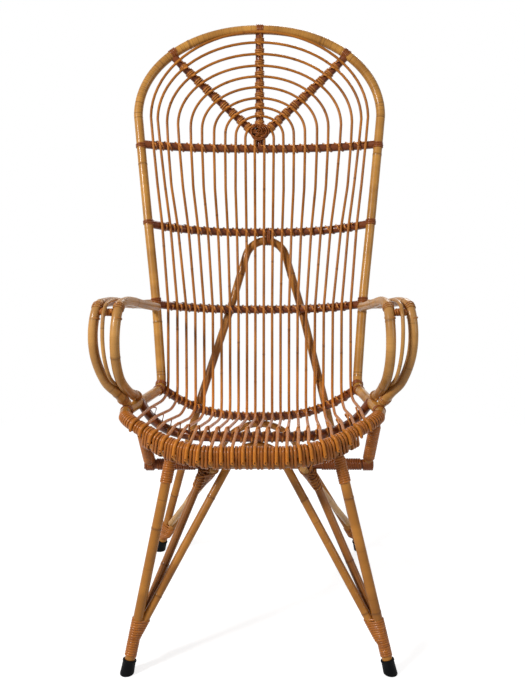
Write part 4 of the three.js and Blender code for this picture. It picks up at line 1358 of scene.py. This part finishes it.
def varnished(name, colour, streak, fleck, lines, gloss=0.28, coat=0.20, painted_seat_light=0.0):
    """Varnished rattan: long fibres, cloudy patches, dark flecks, cross lines and growth rings, and where
    asked a painted light that makes it lighter low down.
    """
    material, nodes = new_material(name)
    fibres = grain_noise(nodes, 330, 8, 0.6, detail=3.0)
    patches = grain_noise(nodes, 40, 13, 0.55, detail=3.0)
    specks = grain_noise(nodes, 430, 75, 0.5)
    cracks = grain_noise(nodes, 45, 620, 0.6)
    pinches = grain_noise(nodes, 22, 270, 0.6)
    speck_mask = levels(nodes, specks, 0.62, 0.71) * fleck
    crack_mask = levels(nodes, cracks, 0.60, 0.70) * levels(nodes, patches, 0.46, 0.62) * lines
    crack_mask = crack_mask + levels(nodes, pinches, 0.50, 0.62) * marked(nodes, "bend") * (lines * 0.8)
    dark, light = tone(colour, 0.62, 1.10), tone(colour, 1.27, 0.97)
    base = blended(nodes, levels(nodes, patches, 0.32, 0.68), dark, light)
    for mask, share, warm in (
        (levels(nodes, fibres, 0.46, 0.68) * streak, 0.48, 1.12),
        (speck_mask, 0.30, 1.15),
        (crack_mask, 0.34, 1.12),
        (marked(nodes, "ring") * 0.75, 0.34, 1.15),
    ):
        base = blended(nodes, mask, base, tone(colour, share, warm))
    # Painted light: the colour is made lighter and warmer low down, where the seat's rods are
    if painted_seat_light:
        place = nodes.add("ShaderNodeTexCoord", out="Object")
        level = nodes.add("ShaderNodeSeparateXYZ", {"Vector": place}, "Z")
        painted_light_share = levels(nodes, level, PAINTED_LIGHT_TOP_Z, PAINTED_LIGHT_LOW_Z) * painted_seat_light
        base = blended(nodes, painted_light_share, base, tone(colour, 1.55, 1.06))
    roughness = levels(nodes, patches, 0.3, 0.7, gloss, gloss + 0.14) + crack_mask * 0.2
    shaded(nodes, base, roughness, fibres * 0.5 - crack_mask - speck_mask * 0.5, 0.35, 0.0005,
           {"Specular IOR Level": SHEEN_LEVEL, "Coat Weight": coat, "Coat Roughness": COAT_ROUGHNESS})
    return material


def bound_cane(name, colour):
    """Split cane: a smooth skin with fine fibres, lighter on some turns, with a painted highlight where it
    climbs a rod.
    """
    material, nodes = new_material(name)
    fibres = grain_noise(nodes, 1400, 40, 0.55)
    turns = grain_noise(nodes, 4, 28, 0.5)
    dark, light = tone(colour, 0.66, 1.06), tone(colour, 1.30, 0.96)
    base = blended(nodes, levels(nodes, turns, 0.30, 0.70), dark, light)
    base = blended(nodes, levels(nodes, fibres, 0.50, 0.74) * 0.45, base, tone(colour, 0.48, 1.08))
    # Painted highlight: the strand is made lighter where it climbs over a rod
    base = blended(nodes, marked(nodes, "over") * 0.7, base, tone(colour, 1.65, 0.98))
    roughness = levels(nodes, turns, 0.3, 0.7, CANE_GLOSS + 0.12, CANE_GLOSS)
    shaded(nodes, base, roughness, fibres, 0.3, 0.0003,
           {"Specular IOR Level": SHEEN_LEVEL, "Coat Weight": CANE_COAT,
            "Coat Roughness": CANE_COAT_ROUGHNESS})
    return material


def black_rubber(name, colour):
    """Matte rubber with a fine pitted skin and dusty scuffs."""
    material, nodes = new_material(name)
    place = nodes.add("ShaderNodeTexCoord", out="Object")
    pits = noise(nodes, place, 900.0)
    scuffs = levels(nodes, noise(nodes, place, 120.0, 4.0), 0.52, 0.72)
    base = blended(nodes, scuffs * 0.5, (*colour, 1), (0.014, 0.0135, 0.013, 1))
    shaded(nodes, base, levels(nodes, pits, 0.3, 0.7, 0.42, 0.60), pits, 0.25, 0.0003,
           {"Specular IOR Level": RUBBER_SHEEN_LEVEL})
    return material


LOOKS = {
    "Honey pole": (varnished, "hoop", dict(streak=0.55, fleck=0.35, lines=1.0)),
    "Golden pole": (varnished, "leg", dict(streak=0.65, fleck=0.7, lines=0.5)),
    "Light tan pole": (varnished, "arm", dict(streak=0.75, fleck=0.9, lines=0.12)),
    # The rods carry painted light: lighter low down, over the seat
    "Brown rod": (varnished, "rod", dict(streak=0.7, fleck=0.3, lines=0.2, gloss=0.24, coat=0.0, painted_seat_light=0.6)),
    "Reddish rail": (varnished, "rail", dict(streak=0.6, fleck=0.4, lines=0.3)),
    "Brown stay": (varnished, "stay", dict(streak=0.6, fleck=0.6, lines=0.4)),
    "Pale pole": (varnished, "pale", dict(streak=0.4, fleck=0.5, lines=0.3, gloss=0.40, coat=0.05)),
    "Orange cane": (bound_cane, "cane", {}),
    "Dark cane": (bound_cane, "dark_cane", {}),
    "Lashing cane": (bound_cane, "lashing", {}),
    "Tan cane": (bound_cane, "tan_cane", {}),
    "Nail heads": (black_rubber, "rubber", {}),
    "Black rubber": (black_rubber, "rubber", {}),
}


def finish(name):
    """The finish of that name, made once."""
    maker, colour, details = LOOKS[name]
    return bpy.data.materials.get(name) or maker(name, getattr(colours(), colour), **details)


# Operators: one for each group of pieces

class RATTAN_OT_hoop(bpy.types.Operator):
    """Bend the hoop of the back and the two poles of the seat's front rim"""
    bl_idname = "rattan.hoop"
    bl_label = "Hoop and front rim"

    def rings(self, hoop):
        """Distances of the hoop's growth rings: one each side of its crown, and the next ones down."""
        route = Route(hoop)
        places = []
        for x in HOOP_RING_PLACES:
            first = route.nearest(on_back(x, arch_v(x)))
            places += [first - math.copysign(HOOP_RING_GAP, x) * step for step in HOOP_RING_STEPS]
        return [place for place in places if 0 < place < route.length]

    def execute(self, context):
        radius = stock().heavy_pole / 2
        hoop = hoop_line()
        make_pole("back_hoop", hoop, radius, "Honey pole", "hoop_pole", self.rings(hoop), HOOP_SIDES)
        rim = [skewed(p) for p in from_middle(rim_and_hoop()[0])]
        make_pole("seat_front_rim", rim, radius, "Honey pole", "hoop_pole")
        line = front_line()

        def below_rim(x):
            point, rise, _ = rim_frame(line, x)
            return skewed(point - rise * UNDER_RIM_DROP)

        under = rail_line(UNDER_RIM_HALF, below_rim, UNDER_RIM_STEPS)
        make_pole("front_under_rim", under, stock().brace_pole / 2, "Golden pole", "leg_pole")
        return {"FINISHED"}


class RATTAN_OT_rods(bpy.types.Operator):
    """Bend the eleven nested rods that fill the back and the seat"""
    bl_idname = "rattan.rods"
    bl_label = "Rods"

    def execute(self, context):
        radius = stock().rod / 2
        line = front_line()
        for k in range(len(ROD_SHARES)):
            rod = rod_line(k, line)
            rings = growth_rings(rod, 20 + k, ROD_RING_GAP)
            make_pole(f"rod_{k + 1:02d}", rod, radius, "Brown rod", "rod", rings, ROD_SIDES, "cane",
                      step=ROD_STEP, round_reach=radius * ROD_END_ROUND, end_share=ROD_END_SHARE)
        return {"FINISHED"}


class RATTAN_OT_rails(bpy.types.Operator):
    """Bend the rails behind and below the rods, and the three spokes of the arch"""
    bl_idname = "rattan.rails"
    bl_label = "Rails and spokes"

    def execute(self, context):
        lines = {f"{word}_rail": rail_line(back_half(v), back_rail(v)) for word, v in BACK_RAILS}
        lines["seat_rear_rail"] = rail_line(POST_FOOT_HALF, rear_rail_point)
        lines["seat_mid_rail"] = [skewed(p) for p in rail_line(MID_RAIL_HALF, mid_rail_point)]
        for word, end_x in SPOKES:
            places = [spoke_place(end_x, i / SPOKE_STEPS) for i in range(SPOKE_STEPS + 1)]
            lines[f"spoke_{word}"] = [on_sheet(*place) for place in places]
        for seed, (node, line) in enumerate(lines.items(), 60):
            rings = growth_rings(line, seed, RAIL_RING_GAP)
            make_pole(node, line, stock().rail_pole / 2, "Reddish rail", "rail_pole", rings)
        return {"FINISHED"}


class RATTAN_OT_under_frame(bpy.types.Operator):
    """Set up the legs, braces, stays, side posts and the cross rail"""
    bl_idname = "rattan.under_frame"
    bl_label = "Legs, braces and stays"

    def pole(self, node, line, radius, look, slot, seed, spacing=LEG_RING_GAP):
        make_pole(node, line, radius, look, slot, growth_rings(line, seed, spacing))

    def execute(self, context):
        s = stock()
        self.pole("back_brace", back_brace_line(), s.leg_pole / 2, "Golden pole", "leg_pole", 70,
                  BRACE_RING_GAP)
        cross = cross_pole()
        self.pole("cross_rail", cross.line, cross.radius, "Reddish rail", "rail_pole", 71)
        self.pole("front_brace", front_brace_line(), s.brace_pole / 2, "Golden pole", "stay_pole", 72)
        rear_brace = arched_line(rear_brace_foot(1), rear_brace_top(), REAR_BRACE_BEND)
        self.pole("rear_brace", rear_brace, s.brace_pole / 2, "Golden pole", "leg_pole", 73)
        for word, side in SIDES:
            straight = (
                ("front_leg", front_leg(side), "Golden pole", "leg_pole"),
                ("front_stay", front_stay(side), "Brown stay", "stay_pole"),
                ("rear_stay", rear_stay(side), "Pale pole", "pale_pole"),
                ("side_post", side_post(side), "Golden pole", "leg_pole"),
            )
            for i, (node, pole, look, slot) in enumerate(straight):
                self.pole(f"{node}_{word}", pole.line, pole.radius, look, slot, 80 + 5 * i + side)
        return {"FINISHED"}


class RATTAN_OT_arms(bpy.types.Operator):
    """Bend the two arms, with the thin rod and the wrapped spacer in each"""
    bl_idname = "rattan.arms"
    bl_label = "Arms"

    def execute(self, context):
        s = stock()
        look = "Light tan pole"
        for word, side in SIDES:
            inner = arm_line(ARM_INNER_SHARES, side)
            make_pole(f"arm_inner_{word}", inner, s.arm_pole / 2, look, "arm_pole",
                      growth_rings(inner, 90 + side, ARM_INNER_RING_GAP), taper=(ARM_TAPER, ARM_TIP_SHARE))
            outer = arm_line(ARM_OUTER_SHARES, side)
            make_pole(f"arm_outer_{word}", outer, s.arm_pole / 2, look, "arm_pole",
                      growth_rings(outer, 94 + side, ARM_OUTER_RING_GAP))
            make_pole(f"arm_rod_{word}", arm_line(ARM_ROD_SHARES, side), s.arm_rod / 2, look, "arm_pole",
                      sides=ROD_SIDES, ending="cane", step=ROD_STEP)
            self.spacer(word, inner, outer)
        return {"FINISHED"}

    def spacer(self, word, inner, outer):
        """The short wrapped pole between an arm's two outer poles."""
        ends = [falls_through(line, ARM_SPACER_Z) for line in (inner, outer)]
        radius = stock().spacer / 2 - cane().thick
        make_pole(f"arm_spacer_{word}", ends, radius, "Dark cane", "cane", ending="core")
        inset = stock().arm_pole / 2
        length = (ends[1] - ends[0]).length
        coil = coil_stations(ends, radius, inset, length - inset, cane().fine * SPACER_PITCH)
        make_cane(f"arm_spacer_{word}_cane", [coil], "Orange cane", cane().fine)


class RATTAN_OT_caps(bpy.types.Operator):
    """Mould the four black rubber caps"""
    bl_idname = "rattan.caps"
    bl_label = "Rubber caps"

    def execute(self, context):
        for word, side in SIDES:
            self.cap(f"front_cap_{word}", front_leg(side))
            self.cap(f"rear_cap_{word}", rear_leg(side))
        return {"FINISHED"}

    def profile(self, bore):
        """Distances up the axis with their radii, from the middle of the sole to the bottom of the bore."""
        outer, rounding, lip, centre = CAP_DIAMETER / 2, 0.0030, 0.0022, 0.0001
        shoulder, waist, crest, rim = (outer - inset for inset in (0.0004, 0.0009, 0.0002, 0.0012))
        shoulder_height = 0.008
        sole = [(0, centre), (0, outer - rounding)]
        for i in range(1, 5):
            angle = math.pi / 8 * i
            sole.append((rounding * (1 - math.cos(angle)), outer - rounding * (1 - math.sin(angle))))
        wall = [(shoulder_height, shoulder), (CAP_HEIGHT - 2 * lip, waist),
                (CAP_HEIGHT - lip * 1.4, outer), (CAP_HEIGHT - lip * 0.5, crest)]
        mouth = [(CAP_HEIGHT, rim), (CAP_HEIGHT, bore), (LEG_END_Z, bore), (LEG_END_Z, centre)]
        return sole + wall + mouth

    def cap(self, node, leg):
        """A cup round the slanting leg end that stands flat on the floor."""
        axis = (leg.end - leg.foot).normalized()
        side = axis.orthogonal().normalized()
        over = axis.cross(side)
        shift = origin()
        tread, play, count = 0.0022, 0.0003, CAP_SIDES
        profile = self.profile(leg.radius + play)
        vertices = []
        for height, radius in profile:
            for j in range(count):
                angle = 2 * math.pi * j / count
                # The sole's rings lie level: they run down the slanting side to the floor
                point = leg.foot + (side * math.cos(angle) + over * math.sin(angle)) * radius
                floor = -point.z / axis.z
                point += axis * (floor * (1 - min(1, height / CAP_HEIGHT)) + height)
                if height < tread:
                    point.z = max(0, point.z)
                vertices.append(point + shift)
        faces = []
        for i in range(len(profile) - 1):
            for j in range(count):
                a, b = i * count + j, i * count + (j + 1) % count
                faces.append((a, a + count, b + count, b))
        faces.append(tuple(range(count)))
        faces.append(tuple(reversed(range(len(vertices) - count, len(vertices)))))
        mesh = bpy.data.meshes.new(f"{node}_rubber")
        mesh.from_pydata(vertices, [], faces)
        mesh.materials.append(finish("Black rubber"))
        mesh.shade_smooth()
        settle(new_object(mesh.name, mesh), "rubber_cap", [node])


class RATTAN_OT_bindings(bpy.types.Operator):
    """Wind the cane round the front rim, the feet, the leg tops, the side posts and the cross rail"""
    bl_idname = "rattan.bindings"
    bl_label = "Cane bindings"

    def execute(self, context):
        self.rim()
        for word, side in SIDES:
            self.feet(word, side)
            self.leg_top(word, side)
            self.side_post(word, side)
            self.cross_rail(word, side)
        self.ties()
        return {"FINISHED"}

    def rim_turns(self, route):
        """Distances along the rim of all the winding's turns: each space between rod ends is filled."""
        width = cane().wide
        middle = route.length / 2
        half = [route.nearest(crossing(route.points, SEAT_CORNER.x * row[0])[0]) for row in ROD_SHARES]
        rods = [2 * middle - place for place in reversed(half)] + half
        turns = []
        for a, b in zip(rods, rods[1:]):
            room = b - a - stock().rod - AIR
            count = max(2, int(room / width + RIM_SQUEEZE))
            turns += [a + (b - a - room) / 2 + room * (i + 0.5) / count for i in range(count)]
        edge = rods[-1] + (stock().rod + width) / 2 + AIR
        beyond = [edge + RIM_EXTRA_PITCH * width * i for i in range(RIM_EXTRA_TURNS)]
        beyond = [place for place in beyond if place < route.length - width]
        return [2 * middle - place for place in reversed(beyond)] + turns + beyond

    def rim(self):
        """One strand that fills every space between rod ends, round both front poles."""
        route = rim_route()
        turns = self.rim_turns(route)
        lift = cane().wide_thick / 2 + AIR
        heavy, under = stock().heavy_pole / 2 + lift, stock().brace_pole / 2 + lift
        stations = []
        for a, b in zip(turns, turns[1:] + turns[-1:]):
            for i in range(TURN_STEPS):
                share = i / TURN_STEPS
                # The strand moves on to its next turn below and behind the rim
                place = a + (b - a) * eased((share - RIM_SLIDE_FROM) / RIM_SLIDE_SHARE)
                point = route.at(place)
                rise, out = squared(route.run(place))
                angle = 2 * math.pi * share
                way = rise * math.cos(angle) + out * math.sin(angle)
                touches = [point + way * heavy]
                if abs(point.x) < UNDER_RIM_HALF + RIM_END_ROOM:
                    touches.append(point - rise * UNDER_RIM_DROP + way * under)
                stations.append({"point": skewed(max(touches, key=way.dot)), "outward": way})
        bind("rim_winding", [stations], width=cane().wide, thick=cane().wide_thick)

    def feet(self, word, side):
        """The wraps that hold the brace and the stay to a front foot, and the brace to a rear one."""
        braces = []
        for foot_at, top, bend in ((front_brace_foot, front_brace_top(), FRONT_BRACE_BEND),
                                   (rear_brace_foot, rear_brace_top(), REAR_BRACE_BEND)):
            corner = arch_corner(foot_at(side), foot_at(-side), top, bend)
            braces.append(Pole(foot_at(side), corner, stock().brace_pole / 2))
        front, rear = braces
        front = Pole(front.at_height(FRONT_BUNDLE_END_Z), front.end, front.radius)
        for end, high, poles in (
            ("front", FRONT_FOOT_WRAP_HIGH_Z, [front_leg(side), front, front_stay(side)]),
            ("rear", REAR_FOOT_WRAP_HIGH_Z, [rear_leg(side), rear]),
        ):
            start, stop = (poles[0].at_height(z) for z in (FOOT_WRAP_LOW_Z, high))
            bind(f"{end}_foot_wrap_{word}", [wrap_stations(start, stop, cane().fine * WRAP_PITCH, poles)])

    def coil(self, node, pole, start, stop):
        bind(node, [coil_stations(pole.line, pole.radius, start, stop, cane().fine * WRAP_PITCH)])

    def leg_top(self, word, side):
        leg = front_leg(side)
        climb = (leg.end - leg.start).normalized().z
        low, high = ((z - leg.start.z) / climb for z in (LEG_TOP_WRAP_LOW_Z, LEG_TOP_WRAP_HIGH_Z))
        self.coil(f"leg_top_wrap_{word}", leg, low, high)

    def side_post(self, word, side):
        post = side_post(side)
        length = (post.end - post.start).length
        low = POST_WRAP_END_GAP + stock().rail_pole / 2
        high = length - POST_WRAP_END_GAP - stock().heavy_pole / 2
        self.coil(f"side_post_wrap_{word}", post, low, high)

    def cross_rail(self, word, side):
        """The wrap on one half of the cross rail, and the thicker knob at its end."""
        line = [on_cross_rail(0), on_cross_rail(side * CROSS_RAIL_HALF)]
        radius = cross_pole().radius
        inner = coil_stations(line, radius, CROSS_WRAP_INNER_HALF, CROSS_WRAP_OUTER_HALF,
                              cane().fine * TIE_PITCH)
        knob = coil_stations(line, radius, SIDE_POST_FOOT_HALF - CROSS_KNOB_REACH,
                             CROSS_RAIL_HALF - CROSS_KNOB_END_GAP, cane().fine * KNOB_PITCH, cane().thick)
        bind(f"cross_rail_wrap_{word}", [inner, knob], "Dark cane")

    def ties(self):
        """The ties that hold the tops of the back brace and the rear brace to their rails."""
        x = (rod_half(0, MIDDLE_RAIL_V) + rod_half(1, MIDDLE_RAIL_V)) / 2
        top = back_brace_top()
        across = Vector((BRACE_TIE_HALF, 0, 0))
        for node, rail, brace, radius in (
            ("back_brace_tie", on_sheet(x, MIDDLE_RAIL_V), Vector((x, top.y, top.z)), stock().leg_pole / 2),
            ("rear_brace_tie", rear_rail_point(0), rear_brace_top(), stock().brace_pole / 2),
        ):
            middle = (rail + brace) / 2
            poles = [Pole(rail - across, rail + across, stock().rail_pole / 2),
                     Pole(brace - across, brace + across, radius)]
            turns = wrap_stations(middle - across, middle + across, cane().lash * TIE_PITCH, poles)
            bind(node, [turns], "Dark cane", cane().lash)


class RATTAN_OT_lashings(bpy.types.Operator):
    """Lash every rod to the rails and spokes, tie the hub, the arms and the stays, and set the nails"""
    bl_idname = "rattan.lashings"
    bl_label = "Rod lashings and ties"

    def execute(self, context):
        self.rails()
        self.seat_rails()
        self.spokes()
        self.hub()
        self.pole_rings()
        self.stay_ties()
        self.nails()
        return {"FINISHED"}

    def lash(self, name, crossings, spare_turns=0, high=LASH_HIGH):
        stations = lashing_stations(crossings, stock().rail_pole / 2, stock().rod / 2, spare_turns, high)
        make_cane(name, [stations], "Lashing cane", cane().lash, cane().lash_thick)

    def lash_back(self, name, places, spare_turns=0):
        self.lash(name, [(on_sheet(x, v), rod_on_back(x, v)) for x, v in places], spare_turns)

    def rails(self):
        for word, v in BACK_RAILS:
            half = [rod_half(k, v) for k in range(len(ROD_SHARES))]
            self.lash_back(f"{word}_rail_lashing", [(x, v) for x in [-x for x in reversed(half)] + half])

    def seat_rails(self):
        line = front_line()
        places = [rod_seat_places(k, line) for k in range(len(ROD_SHARES))]
        for word in ("mid", "rear"):
            rail, rod = ([skewed(p) for p in [mirrored(at[key]) for at in reversed(places)]
                          + [at[key] for at in places]] for key in (word, f"over_{word}"))
            self.lash(f"seat_{word}_rail_lashing", list(zip(rail, rod)), high=LASH_SEAT_HIGH)

    def crossed(self, end_x, k):
        """Where a side spoke crosses a rod's arch."""
        low, high = 0, math.pi / 2
        for _ in range(SOLVER_ROUNDS):
            middle = (low + high) / 2
            x, v = rod_arch(k, middle)
            if v < spoke_place(end_x, x / abs(end_x))[1]:
                low = middle
            else:
                high = middle
        x, v = rod_arch(k, low)
        return math.copysign(x, end_x), v

    def spokes(self):
        for word, end_x in SPOKES:
            if end_x:
                places = [self.crossed(end_x, k) for k in range(1, len(ROD_SHARES))]
            else:
                places = [(0, rod_arch(k, math.pi / 2)[1]) for k in range(len(ROD_SHARES))]
            self.lash_back(f"spoke_{word}_lashing", places, SPOKE_SPARE_TURNS)

    def hub(self):
        """Strands that circle where the spokes meet, and pass in and out over each other."""
        centre = on_sheet(0, HUB_V + HUB_LIFT) - OFF_SLOPE * (stock().rail_pole / 2 + stock().rod)
        across = Vector((1, 0, 0))
        draw = random.Random(7)
        loops = []
        for i in range(HUB_LOOPS):
            reach = HUB_SMALLEST + HUB_STEP * (i % 4) + draw.uniform(-HUB_SPREAD, HUB_SPREAD)
            aside = draw.uniform(-1, 1) * (HUB_HALF - reach)
            aloft = draw.uniform(-1, 1) * (HUB_HALF - reach)
            tilt = draw.uniform(-HUB_TILT, HUB_TILT)
            phase = draw.uniform(0, 2 * math.pi)
            weave = 2 + i % 3
            middle = centre + across * aside + UP_SLOPE * aloft
            stations = []
            for j in range(HUB_STEPS + HUB_OVERLAP_STEPS):
                angle = 2 * math.pi * j / HUB_STEPS + phase
                ray = across * math.cos(angle) + UP_SLOPE * math.sin(angle)
                depth = HUB_WEAVE_DEPTH * math.sin(weave * angle + phase) + reach * tilt * math.cos(angle)
                out = reach + HUB_WEAVE_SWAY * math.cos(weave * angle)
                stations.append({"point": middle + ray * out + OFF_SLOPE * depth,
                                 "outward": (ray - OFF_SLOPE).normalized()})
            loops.append(stations)
        make_cane("hub_lashing", loops, "Dark cane", cane().lash, HUB_THICK)

    def pole_rings(self):
        """Short coils of cane on the hoop, the side poles, the posts and the arms."""
        pitch = cane().lash * RING_PITCH
        hoop = hoop_line()
        route = Route(hoop)
        spots = [(route.nearest(on_back(0, CROWN_V)), SPOKE_RING_TURNS)]
        for end_x in (SPOKE_END_HALF, -SPOKE_END_HALF):
            spots.append((route.nearest(on_back(end_x, spoke_place(end_x, 1)[1])), SPOKE_RING_TURNS))
        for _, side in SIDES:
            corners = [on_back(side * back_half(v), v) for _, v in BACK_RAILS] + [rear_corner(side)]
            spots += [(route.nearest(corner), POST_RING_TURNS) for corner in corners]
        for _, side in SIDES:
            marks = [m for m, p in zip(route.marks, hoop) if p.x * side > 0 and p.z < SIDE_POLE_TOP_Z]
            for y in SIDE_POLE_RING_YS:
                spots.append((min(marks, key=lambda mark: abs(route.at(mark).y - y)), POST_RING_TURNS))
        coils = []
        for middle, turns in spots:
            half = turns * pitch / 2
            coils.append(coil_stations(hoop, stock().heavy_pole / 2, middle - half, middle + half, pitch))
        make_cane("hoop_rings_cane", coils, "Dark cane", cane().lash)
        coils = []
        for _, side in SIDES:
            for shares in (ARM_INNER_SHARES, ARM_OUTER_SHARES):
                line = arm_line(shares, side)
                arm = Route(line)
                spacer = arm.nearest(falls_through(line, ARM_SPACER_Z))
                end = arm.length - ARM_RINGS_END_GAP
                spans = [(spacer + low, spacer + high) for low, high in ARM_RINGS_BY_SPACER]
                for start, stop in (*spans, (end - pitch * POST_RING_TURNS, end)):
                    coils.append(coil_stations(line, stock().arm_pole / 2, start, stop, pitch))
        make_cane("arm_rings_cane", coils, "Tan cane", cane().lash * ARM_RINGS_WIDTH_SHARE, ARM_RINGS_THICK)

    def stay_ties(self):
        """Bands that bind each pair of stays just below the cross rail, with a crossed turn over it."""
        pitch = cane().lash * TIE_PITCH
        loops = []
        for _, side in SIDES:
            stays = [front_stay(side), rear_stay(side)]
            low, high = ((stays[0].at_height(z) + stays[1].at_height(z)) / 2
                         for z in (STAY_TIE_LOW_Z, STAY_TIE_HIGH_Z))
            loops.append(wrap_stations(low, high, pitch, stays))
            middle = on_cross_rail(high.x, -STAY_CROSS_DROP)
            run = (high - low).normalized()
            for lean in (1, -1):
                axis = (run + Vector((lean, 0, 0)) * STAY_CROSS_LEAN).normalized()
                half = axis * cane().lash * STAY_CROSS_WIDTHS
                loops.append(wrap_stations(middle - half, middle + half, pitch, [cross_pole(), *stays]))
        make_cane("stay_ties_cane", loops, "Lashing cane", cane().lash)

    def nails(self):
        """A nail head near the end of each rod."""
        line = front_line()
        off = stock().heavy_pole / 2 + stock().rod + AIR
        heads = []
        for k in range(len(ROD_SHARES)):
            at = rod_seat_places(k, line)
            spot = at["rim"] + at["out"] * off - at["rise"] * (rod_tip_drop(k) - NAIL_ABOVE_TIP)
            for place, outward in ((spot, at["out"]), (mirrored(spot), mirrored(at["out"]))):
                heads.append([{"point": skewed(place), "outward": outward}])
        mesh = path_mesh("rim_nail_heads", heads, "outward")
        values = {"Radius": NAIL_RADIUS, "Material": finish("Nail heads")}
        grown("rim_nail_heads", mesh, tree_named("Nail heads on points", nail_tree), values, "rubber_cap")


class RATTAN_OT_stage(bpy.types.Operator):
    """Lay the white floor and set up the soft lamps and the camera"""
    bl_idname = "rattan.stage"
    bl_label = "Floor, lamps and camera"

    def execute(self, context):
        self.floor()
        self.world(context)
        self.lamps()
        self.camera(context)
        context.scene.view_settings.view_transform = "Standard"
        return {"FINISHED"}

    def direct_rays(self, nodes):
        """1 where a surface or the world is looked straight at, also in a gloss or through glass."""
        camera, glossy, through = (nodes.add("ShaderNodeLightPath", out=f"Is {kind} Ray")
                                   for kind in ("Camera", "Glossy", "Transmission"))
        return camera + glossy + through

    def white_light(self, nodes, kind, strength):
        return nodes.add(kind, {"Color": (1, 1, 1, 1), "Strength": strength})

    def floor(self):
        """A white floor that is lit near the chair and melts into the white studio further off."""
        material, nodes = new_material("White floor")
        white = nodes.add("ShaderNodeBsdfDiffuse", {"Color": (FLOOR_WHITE, FLOOR_WHITE, FLOOR_WHITE, 1)})
        glow = self.white_light(nodes, "ShaderNodeEmission", FLOOR_GLOW)
        lit = nodes.add("ShaderNodeAddShader", {0: white, 1: glow})
        far_white = self.white_light(nodes, "ShaderNodeEmission", 1.0)
        place = nodes.add("ShaderNodeTexCoord", out="Object")
        distance = nodes.add("ShaderNodeVectorMath", {0: place}, "Value", operation="LENGTH")
        faded = levels(nodes, distance, FLOOR_FADE_START, FLOOR_FADE_END)
        lit = nodes.add("ShaderNodeMixShader", {0: faded, 1: lit, 2: far_white})
        shader = nodes.add("ShaderNodeMixShader", {0: self.direct_rays(nodes), 1: white, 2: lit})
        nodes.add("ShaderNodeOutputMaterial", {"Surface": shader})
        mesh = bpy.data.meshes.new("floor")
        corners = [(x * FLOOR_HALF, y * FLOOR_HALF, 0) for x, y in ((-1, -1), (1, -1), (1, 1), (-1, 1))]
        mesh.from_pydata(corners, [], [(0, 1, 2, 3)])
        mesh.materials.append(material)
        new_object("floor", mesh)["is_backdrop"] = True

    def world(self, context):
        world = bpy.data.worlds.new("White studio")
        world.use_nodes = True
        nodes = Nodes(world.node_tree)
        soft = self.white_light(nodes, "ShaderNodeBackground", WORLD_GLOW)
        white = self.white_light(nodes, "ShaderNodeBackground", 1.0)
        shader = nodes.add("ShaderNodeMixShader", {0: self.direct_rays(nodes), 1: soft, 2: white})
        nodes.add("ShaderNodeOutputWorld", {"Surface": shader})
        context.scene.world = world

    def lamps(self):
        for name, place, width, power in LAMPS:
            data = bpy.data.lights.new(name, "AREA")
            data.size = width
            data.energy = power
            lamp = new_object(name, data)
            lamp.location = place
            lamp.rotation_euler = (LAMPS_AIM - place).to_track_quat("-Z", "Y").to_euler()

    def camera(self, context):
        data = bpy.data.cameras.new("camera")
        data.lens = CAMERA_LENS
        data.sensor_width = CAMERA_SENSOR
        camera = new_object("camera", data)
        camera.location = origin() + CAMERA_PLACE
        camera.rotation_euler = (math.radians(90) - CAMERA_TILT, 0, 0)
        context.scene.camera = camera


OPERATORS = (RATTAN_OT_hoop, RATTAN_OT_rods, RATTAN_OT_rails, RATTAN_OT_under_frame, RATTAN_OT_arms,
             RATTAN_OT_caps, RATTAN_OT_bindings, RATTAN_OT_lashings, RATTAN_OT_stage)


class RATTAN_PT_panel(bpy.types.Panel):
    """Lists the steps that build the chair"""
    bl_idname = "RATTAN_PT_panel"
    bl_label = "Rattan chair"
    bl_space_type = "VIEW_3D"
    bl_region_type = "UI"
    bl_category = "Rattan chair"

    def draw(self, context):
        for step in OPERATORS:
            self.layout.operator(step.bl_idname)
        for group in (stock(), cane(), colours()):
            box = self.layout.box()
            for name in group.__annotations__:
                box.prop(group, name)


GROUPS = (("rattan_stock", RattanStock), ("rattan_cane", RattanCane), ("rattan_colours", RattanColours))


def register():
    for name, group in GROUPS:
        bpy.utils.register_class(group)
        setattr(bpy.types.Scene, name, PointerProperty(type=group))
    for item in (*OPERATORS, RATTAN_PT_panel):
        bpy.utils.register_class(item)


def unregister():
    for item in reversed((*OPERATORS, RATTAN_PT_panel)):
        bpy.utils.unregister_class(item)
    for name, group in reversed(GROUPS):
        delattr(bpy.types.Scene, name)
        bpy.utils.unregister_class(group)


def main():
    register()
    bpy.ops.rattan.hoop()
    bpy.ops.rattan.rods()
    bpy.ops.rattan.rails()
    bpy.ops.rattan.under_frame()
    bpy.ops.rattan.arms()
    bpy.ops.rattan.caps()
    bpy.ops.rattan.bindings()
    bpy.ops.rattan.lashings()
    bpy.ops.rattan.stage()
    sizes = {"solid": SOLID_BOUNDS, "visual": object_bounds()}
    plain = {name: [list(corner) for corner in box] for name, box in sizes.items()}


if __name__ == "__main__":
    main()
